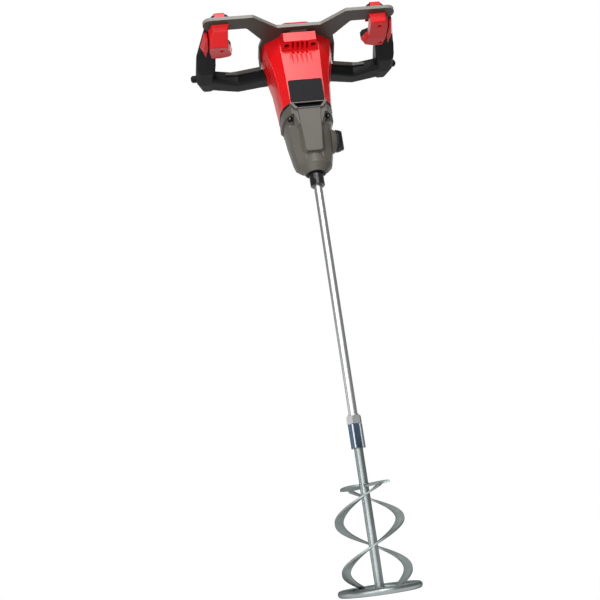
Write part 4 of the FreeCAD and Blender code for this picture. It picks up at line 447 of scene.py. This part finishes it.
soften(*shells, width_mm=1.5, steps=3)
soften(*grip_trim, width_mm=1, steps=3)

# Brow flutes: shallow scallops moulded in the front face, which run down from the four vents under the
# brow and fade out. They stand on the face as a thin wedge of the same red ABS.

flute_shares, flute_pitch = (-1.5, -0.5, 0.5, 1.5), 8.2
flute_curve, flute_depth, flute_fall = 14, 0.7, 0.27
flute_foot, flute_top, flute_half = 873, 893.3, 19
face_foot, face_top, face_sink = 34.2, 34.5, 0.5
steps_across, steps_up = 96, 20
crease_angle = math.radians(50)
flutes = bmesh.new()
front_rows, back_rows = [], []
for row in range(steps_up + 1):
    rise = row / steps_up
    height = flute_foot + (flute_top - flute_foot) * rise
    face = face_foot + (face_top - face_foot) * rise
    front_row, back_row = [], []
    for step in range(steps_across + 1):
        x = flute_half * (2 * step / steps_across - 1)
        aside = min(abs(x - flute_pitch * share) for share in flute_shares)
        proud = min(aside ** 2 / (2 * flute_curve), flute_depth * rise, (flute_half - abs(x)) * flute_fall)
        front_row.append(flutes.verts.new(metres((x, -face - proud, height))))
        back_row.append(flutes.verts.new(metres((x, -face + face_sink, height))))
    front_rows.append(front_row)
    back_rows.append(back_row)
for rows in (front_rows, back_rows):
    for low, high in zip(rows, rows[1:]):
        for step in range(steps_across):
            flutes.faces.new((low[step], low[step + 1], high[step + 1], high[step]))
rim = [front_rows[0], front_rows[-1], [row[0] for row in front_rows], [row[-1] for row in front_rows]]
sunk = [back_rows[0], back_rows[-1], [row[0] for row in back_rows], [row[-1] for row in back_rows]]
for outer, inner in zip(rim, sunk):
    for step in range(len(outer) - 1):
        flutes.faces.new((outer[step], outer[step + 1], inner[step + 1], inner[step]))
bmesh.ops.recalc_face_normals(flutes, faces=flutes.faces)
flute_mesh = mesh_of("brow_flutes", flutes)
new_piece("brow_flutes", flute_mesh, red_abs, "machine")
flute_mesh.set_sharp_from_angle(angle=crease_angle)

# Boss ends: two shallow swells moulded in the cheeks of the front shell, where the bosses of the upper
# shell screws end just under the skin. They are part of the same red ABS moulding.

# Each ring has a radius and a height above the cheek
boss_rings = ((2.4, -0.6), (2.4, 0), (1.8, 0.11), (1, 0.18))
boss_crown, boss_sides = 0.2, 24
boss_spot, boss_lean = (45.8, -21.05, 883.8), (0.73, -0.68, -0.1)
swells = bmesh.new()
for side in (-1, 1):
    middle = Vector((boss_spot[0] * side, boss_spot[1], boss_spot[2]))
    out = Vector((boss_lean[0] * side, boss_lean[1], boss_lean[2])).normalized()
    along = out.cross(Vector((0, 0, 1))).normalized()
    up = along.cross(out)
    rings = []
    for radius, lift in boss_rings:
        ring = []
        for step in range(boss_sides):
            turn = math.tau * step / boss_sides
            aside = along * math.cos(turn) + up * math.sin(turn)
            ring.append(swells.verts.new(metres(middle + aside * radius + out * lift)))
        rings.append(ring)
    swells.faces.new(rings[0])
    for low, high in zip(rings, rings[1:]):
        bridge(swells, low, high)
    crown = swells.verts.new(metres(middle + out * boss_crown))
    for step in range(boss_sides):
        swells.faces.new((rings[-1][step], rings[-1][(step + 1) % boss_sides], crown))
bmesh.ops.recalc_face_normals(swells, faces=swells.faces)
swell_mesh = mesh_of("boss_ends", swells)
new_piece("boss_ends", swell_mesh, red_abs, "machine")
swell_mesh.set_sharp_from_angle(angle=crease_angle)

# Vent shade strips: six strips of dead black nylon on either side, held in the shell from inside, one behind
# each vent. They are painted shade, standing for the shadow inside the housing behind the vents.

shade_strip_count, shade_strip_pitch, shade_strip_sill, shade_strip_height = 6, 6.4, 874.1, 3
shade_strip_x, shade_strip_mm, shade_strip_front, shade_strip_rear = 49, 0.4, 0.1, 23.9
for word, side in (("left", -1), ("right", 1)):
    shade_strips = bmesh.new()
    for row in range(shade_strip_count):
        sill = shade_strip_sill + shade_strip_pitch * row
        strip = bmesh.ops.create_cube(shade_strips, size=0.001)["verts"]
        bmesh.ops.scale(shade_strips, vec=(shade_strip_mm, shade_strip_rear - shade_strip_front, shade_strip_height), verts=strip)
        spot = metres((shade_strip_x * side, (shade_strip_front + shade_strip_rear) / 2, sill + shade_strip_height / 2))
        bmesh.ops.translate(shade_strips, vec=spot, verts=strip)
    shade_strips_mesh = mesh_of("vent_shade_strips_" + word, shade_strips)
    new_piece("vent_shade_strips_" + word, shade_strips_mesh, shade_black_nylon, "machine", smooth=False)

# Label: a bare plate of polyester film, punched out and stuck in a shallow seat on the front of the motor
# housing. The controller board, hidden in the housing, has the same dark, matt face.

# Polyester label film: dark anthracite with a matt face
label_film, place = new_surface("printed_polyester_film")
cloud = add(label_film, "TexNoise", {"Scale": grain(12), "Detail": 3}, [("Vector", place)])
tone = add(label_film, "Mix", {"data_type": "RGBA", 6: linear("#141417"), 7: linear("#1b1b1f")},
           [(0, cloud.outputs["Fac"])])
shade(label_film, {"Roughness": 0.55, "Specular IOR Level": 0.15}, [("Base Color", tone.outputs[2])])
dress(label_film, "label_film", "label_plate")
dress(label_film, "circuit_board", "controller_board")

# Handle frame: a thick steel plate cut and pressed to shape, powder coated, and screwed on top of the motor.
# It carries the two grips, and a slot above the brow takes a strap.

# Taupe powder coat: satin, with a fine pebbled skin. Its tone is darker than the casting's paint, as painted
# shade for the shadow under the plate, and its upright faces towards the front are paler, as a painted
# highlight
highlight_full_mm, highlight_faint_mm, highlight_faint = -30, 0, 0.15
powder_coat, place = new_surface("taupe_powder_coat_on_plate")
cloud = add(powder_coat, "TexNoise", {"Scale": grain(35), "Detail": 3}, [("Vector", place)])
# Painted shade: both tones are darker than the casting's, all over the plate
tone = add(powder_coat, "Mix", {"data_type": "RGBA", 6: linear("#3b3732"), 7: linear("#433f39")},
           [(0, cloud.outputs["Fac"])])
pebble = add(powder_coat, "TexNoise", {"Scale": grain(1.3), "Detail": 2}, [("Vector", place)])
bump = add(powder_coat, "Bump", {"Strength": 0.12, "Distance": 0.0002}, [("Height", pebble.outputs["Fac"])])
# Painted highlight: upright faces, fully at the front and faintly behind, are mixed towards a pale taupe
facing = add(powder_coat, "NewGeometry", {})
upright = add(powder_coat, "SeparateXYZ", {}, [(0, facing.outputs["Normal"])])
level = add(powder_coat, "Math", {"operation": "ABSOLUTE"}, [(0, upright.outputs["Z"])])
painted_highlight = add(powder_coat, "MapRange", {"From Min": 0.35, "From Max": 0.8, "To Min": 1, "To Max": 0},
             [("Value", level.outputs[0])])
spot = add(powder_coat, "SeparateXYZ", {}, [(0, place)])
front = add(powder_coat, "MapRange", {"From Min": highlight_full_mm / 1000, "From Max": highlight_faint_mm / 1000,
                                      "To Min": 1, "To Max": highlight_faint}, [("Value", spot.outputs["Y"])])
painted_highlight = add(powder_coat, "Math", {"operation": "MULTIPLY"}, [(0, painted_highlight.outputs[0]), (1, front.outputs[0])])
tone = add(powder_coat, "Mix", {"data_type": "RGBA", 7: linear("#86837d")},
           [(0, painted_highlight.outputs[0]), (6, tone.outputs[2])])
shade(powder_coat, {"Roughness": 0.42, "Specular IOR Level": 0.35},
      [("Base Color", tone.outputs[2]), ("Normal", bump.outputs[0])])
dress(powder_coat, "grey_casting", "handle_frame")
soften("handle_frame", width_mm=1.2, steps=3)

# Switch heads: red ABS mouldings under the front ends of the grips, with rounded edges. The left one falls
# away in a long front slope; the right one has a short upright front and a flat underside.


def moulded_whole(name, nodes, material, voxel_mm, rounds, reshape=None, pocket=None):
    """One moulding in place of CAD pieces: its solids are run together, its edges rounded off and, where
    a pocket's two corners are given, in millimetres, a clean pocket is cut."""
    shape = bmesh.new()
    for node in nodes:
        shape.from_mesh(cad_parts[node].data)
    rough_form = bpy.data.objects.new(name + "_rough", mesh_of(name + "_rough", shape))
    bpy.context.scene.collection.objects.link(rough_form)
    skin = rough_form.modifiers.new("skin", "REMESH")
    skin.mode = "VOXEL"
    skin.voxel_size = voxel_mm / 1000
    ease = rough_form.modifiers.new("ease", "SMOOTH")
    ease.factor = 0.5
    ease.iterations = rounds
    if pocket:
        low, high = metres(pocket[0]), metres(pocket[1])
        block = bmesh.new()
        bmesh.ops.create_cube(block, size=1)
        bmesh.ops.scale(block, vec=high - low, verts=block.verts)
        bmesh.ops.translate(block, vec=(low + high) / 2, verts=block.verts)
        core = bpy.data.objects.new(name + "_core", mesh_of(name + "_core", block))
        bpy.context.scene.collection.objects.link(core)
        room = rough_form.modifiers.new("room", "BOOLEAN")
        room.operation = "DIFFERENCE"
        room.object = core
    ready = rough_form.evaluated_get(bpy.context.evaluated_depsgraph_get())
    mesh = bpy.data.meshes.new_from_object(ready)
    mesh.name = name
    bpy.data.objects.remove(rough_form)
    if pocket:
        bpy.data.objects.remove(core)
    mesh.materials.clear()
    if reshape:
        for corner in mesh.vertices:
            corner.co = reshape(corner.co)
    piece = new_piece(name, mesh, material, "machine")
    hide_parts(*nodes)


def sloped_by(slope):
    """A change of depth under the frame, from a list of (distance along the grip, depth) in millimetres."""
    top_m, plain_depth_m = 0.9297, 0.0117

    def reshape(spot):
        along = spot.y * 1000
        depth = slope[0][1]
        for (start, deep), (end, deeper) in zip(slope, slope[1:]):
            if along >= start:
                depth = deep + (deeper - deep) * min((along - start) / (end - start), 1)
        return Vector((spot.x, spot.y, top_m - (top_m - spot.z) / plain_depth_m * depth / 1000))

    return reshape


left_slope = [(-81, 8), (-57, 28), (5, 12)]
right_slope = [(-81, 16), (-30, 15), (5, 12)]
for word, slope in (("left", left_slope), ("right", right_slope)):
    moulded_whole("switch_head_" + word, ["switch_housing_" + word], red_abs,
                  voxel_mm=0.9, rounds=3, reshape=sloped_by(slope))

# Top cap: a red ABS moulding with soft facets, made in one piece, that closes the motor housing above the
# middle of the frame.

moulded_whole("domed_cap", ["top_cap"], red_abs, voxel_mm=1.5, rounds=8)

# Grips: thermoplastic rubber moulded over a nylon core, each in one with the bar that runs on to the rear,
# and with a pocket for its trigger. A bumper knob of the same rubber is fixed at each rear corner.

# Soft thermoplastic rubber: black and matt with a leathery grain
soft_rubber, place = new_surface("moulded_soft_rubber")
cloud = add(soft_rubber, "TexNoise", {"Scale": grain(20), "Detail": 4}, [("Vector", place)])
tone = add(soft_rubber, "Mix", {"data_type": "RGBA", 6: linear("#0b0b0d"), 7: linear("#121215")},
           [(0, cloud.outputs["Fac"])])
leather = add(soft_rubber, "TexVoronoi", {"Scale": grain(1.4)}, [("Vector", place)])
bump = add(soft_rubber, "Bump", {"Strength": 0.15, "Distance": 0.0003},
           [("Height", leather.outputs["Distance"])])
shade(soft_rubber, {"Roughness": 0.55, "Specular IOR Level": 0.22},
      [("Base Color", tone.outputs[2]), ("Normal", bump.outputs[0])])
bumpers = ("end_bumper_left", "end_bumper_right")
dress(soft_rubber, "soft_grip", *bumpers)
pocket_face, pocket_end = 110, 148.5
pocket_front, pocket_rear = -24.5, -5.5
pocket_sill, pocket_top = 929.5, 944.4
for word, side in (("left", -1), ("right", 1)):
    pocket_start, pocket_stop = sorted((pocket_face * side, pocket_end * side))
    moulded_whole("hand_grip_" + word, ["grip_" + word, "rear_bar_" + word], soft_rubber,
                  voxel_mm=1.7, rounds=7, pocket=((pocket_start, pocket_front, pocket_sill),
                                                  (pocket_stop, pocket_rear, pocket_top)))
soften(*bumpers, width_mm=1.5, steps=3)

# Studio: a white floor under the ring, a pale world and six soft lights, in metres and watts. They light the
# object at a plain level, and the floor keeps its shadow.

side_edge, front_edge, back_edge = 1.6, -0.3, 1.7
floor_corners = [(-side_edge, front_edge, 0), (side_edge, front_edge, 0),
                 (side_edge, back_edge, 0), (-side_edge, back_edge, 0)]
floor_mesh = bpy.data.meshes.new("studio_floor")
floor_mesh.from_pydata(floor_corners, [], [(0, 1, 2, 3)])
floor = bpy.data.objects.new("studio_floor", floor_mesh)
bpy.context.scene.collection.objects.link(floor)

# White studio board: matt, and plain white to the eye where no shadow falls on it
board_glow = 0.95
white_board = new_surface("matt_white_studio_board")[0]
path = add(white_board, "LightPath", {})
seen = add(white_board, "Math", {"operation": "MAXIMUM"},
           [(0, path.outputs["Is Camera Ray"]), (1, path.outputs["Is Glossy Ray"])])
seen = add(white_board, "Math", {"operation": "MAXIMUM"},
           [(0, seen.outputs[0]), (1, path.outputs["Is Transmission Ray"])])
lift = add(white_board, "Math", {"operation": "MULTIPLY", 1: board_glow}, [(0, seen.outputs[0])])
shade(white_board, {"Base Color": linear("#606060"), "Roughness": 0.9, "Emission Color": (1, 1, 1, 1)},
      [("Emission Strength", lift.outputs[0])])
floor_mesh.materials.append(white_board)

# Pale world: white to the eye, and a weak light on the object. A shiny face mirrors the white backdrop behind
# the object, along +Y, and a dim room to the sides and in front.
world_fill = 0.24
world = bpy.data.worlds.new("pale_studio")
bpy.context.scene.world = world
world.use_nodes = True
world.node_tree.nodes.clear()
path = add(world, "LightPath", {})
seen = add(world, "Math", {"operation": "MAXIMUM"},
           [(0, path.outputs["Is Camera Ray"]), (1, path.outputs["Is Transmission Ray"])])
towards = add(world, "TexCoord", {})
depth = add(world, "SeparateXYZ", {}, [(0, towards.outputs["Generated"])])
room = add(world, "MapRange", {"From Min": 0.45, "From Max": 0.95, "To Min": 0.12, "To Max": 1},
           [("Value", depth.outputs["Y"])])
mirrored = add(world, "Math", {"operation": "MULTIPLY"},
               [(0, path.outputs["Is Glossy Ray"]), (1, room.outputs[0])])
seen = add(world, "Math", {"operation": "MAXIMUM"}, [(0, seen.outputs[0]), (1, mirrored.outputs[0])])
level = add(world, "Math", {"operation": "MAXIMUM", 1: world_fill}, [(0, seen.outputs[0])])
sky = add(world, "Background", {"Color": (1, 1, 1, 1)}, [("Strength", level.outputs[0])])
add(world, "OutputWorld", {}, [("Surface", sky.outputs[0])])


def soft_light(name, spot, aim, size, power):
    """An oblong softbox turned towards a point."""
    lamp = bpy.data.lights.new(name, "AREA")
    lamp.shape = "RECTANGLE"
    lamp.size, lamp.size_y = size
    lamp.energy = power
    item = bpy.data.objects.new(name, lamp)
    item.location = spot
    item.rotation_mode = "QUATERNION"
    item.rotation_quaternion = (Vector(aim) - Vector(spot)).to_track_quat("-Z", "Y")
    bpy.context.scene.collection.objects.link(item)


soft_light("key_softbox", spot=(0.05, -1.9, 2.05), aim=(0, 0, 0.8), size=(0.55, 0.55), power=20)
soft_light("front_softbox", spot=(-0.45, -2.3, 1.5), aim=(0, 0, 0.7), size=(3, 1.8), power=26)
soft_light("low_reflector", spot=(-0.45, -1.15, -0.2), aim=(-0.1, 0, 0.93), size=(1.6, 1), power=13)
soft_light("left_softbox", spot=(-1.5, -1.6, 0.6), aim=(0, 0, 0.3), size=(1.2, 1.3), power=8)
soft_light("left_panel", spot=(-2, 0.45, 0.35), aim=(0, 0, 0.3), size=(1, 0.9), power=3.5)
soft_light("back_softbox", spot=(0.5, 1.8, 2.2), aim=(0, 0, 0.8), size=(2, 2), power=13)

# Camera: a 50 mm lens on a full-frame body, low in front of the tool, looking up at it and tilted. Its spot
# and angles are fitted to the view that the object is shown from.

lens = bpy.data.cameras.new("camera")
lens.lens = 50
lens.sensor_width = 36
lens.clip_start = 0.05
camera = bpy.data.objects.new("camera", lens)
bpy.context.scene.collection.objects.link(camera)
bpy.context.scene.camera = camera
camera_spot = Vector((-0.1954, -1.2852, 0.0732))
yaw, pitch, roll = math.radians(6.13), math.radians(16.65), math.radians(-8.047)
ahead = Vector((math.sin(yaw) * math.cos(pitch), math.cos(yaw) * math.cos(pitch), math.sin(pitch)))
right = Vector((math.cos(yaw), -math.sin(yaw), 0))
above = right.cross(ahead)
turned_right = right * math.cos(roll) + above * math.sin(roll)
turned_up = above * math.cos(roll) - right * math.sin(roll)
axes = Matrix((turned_right, turned_up, -ahead)).transposed()
camera.matrix_world = Matrix.Translation(camera_spot) @ axes.to_4x4()

bpy.context.scene.view_settings.view_transform = "Standard"
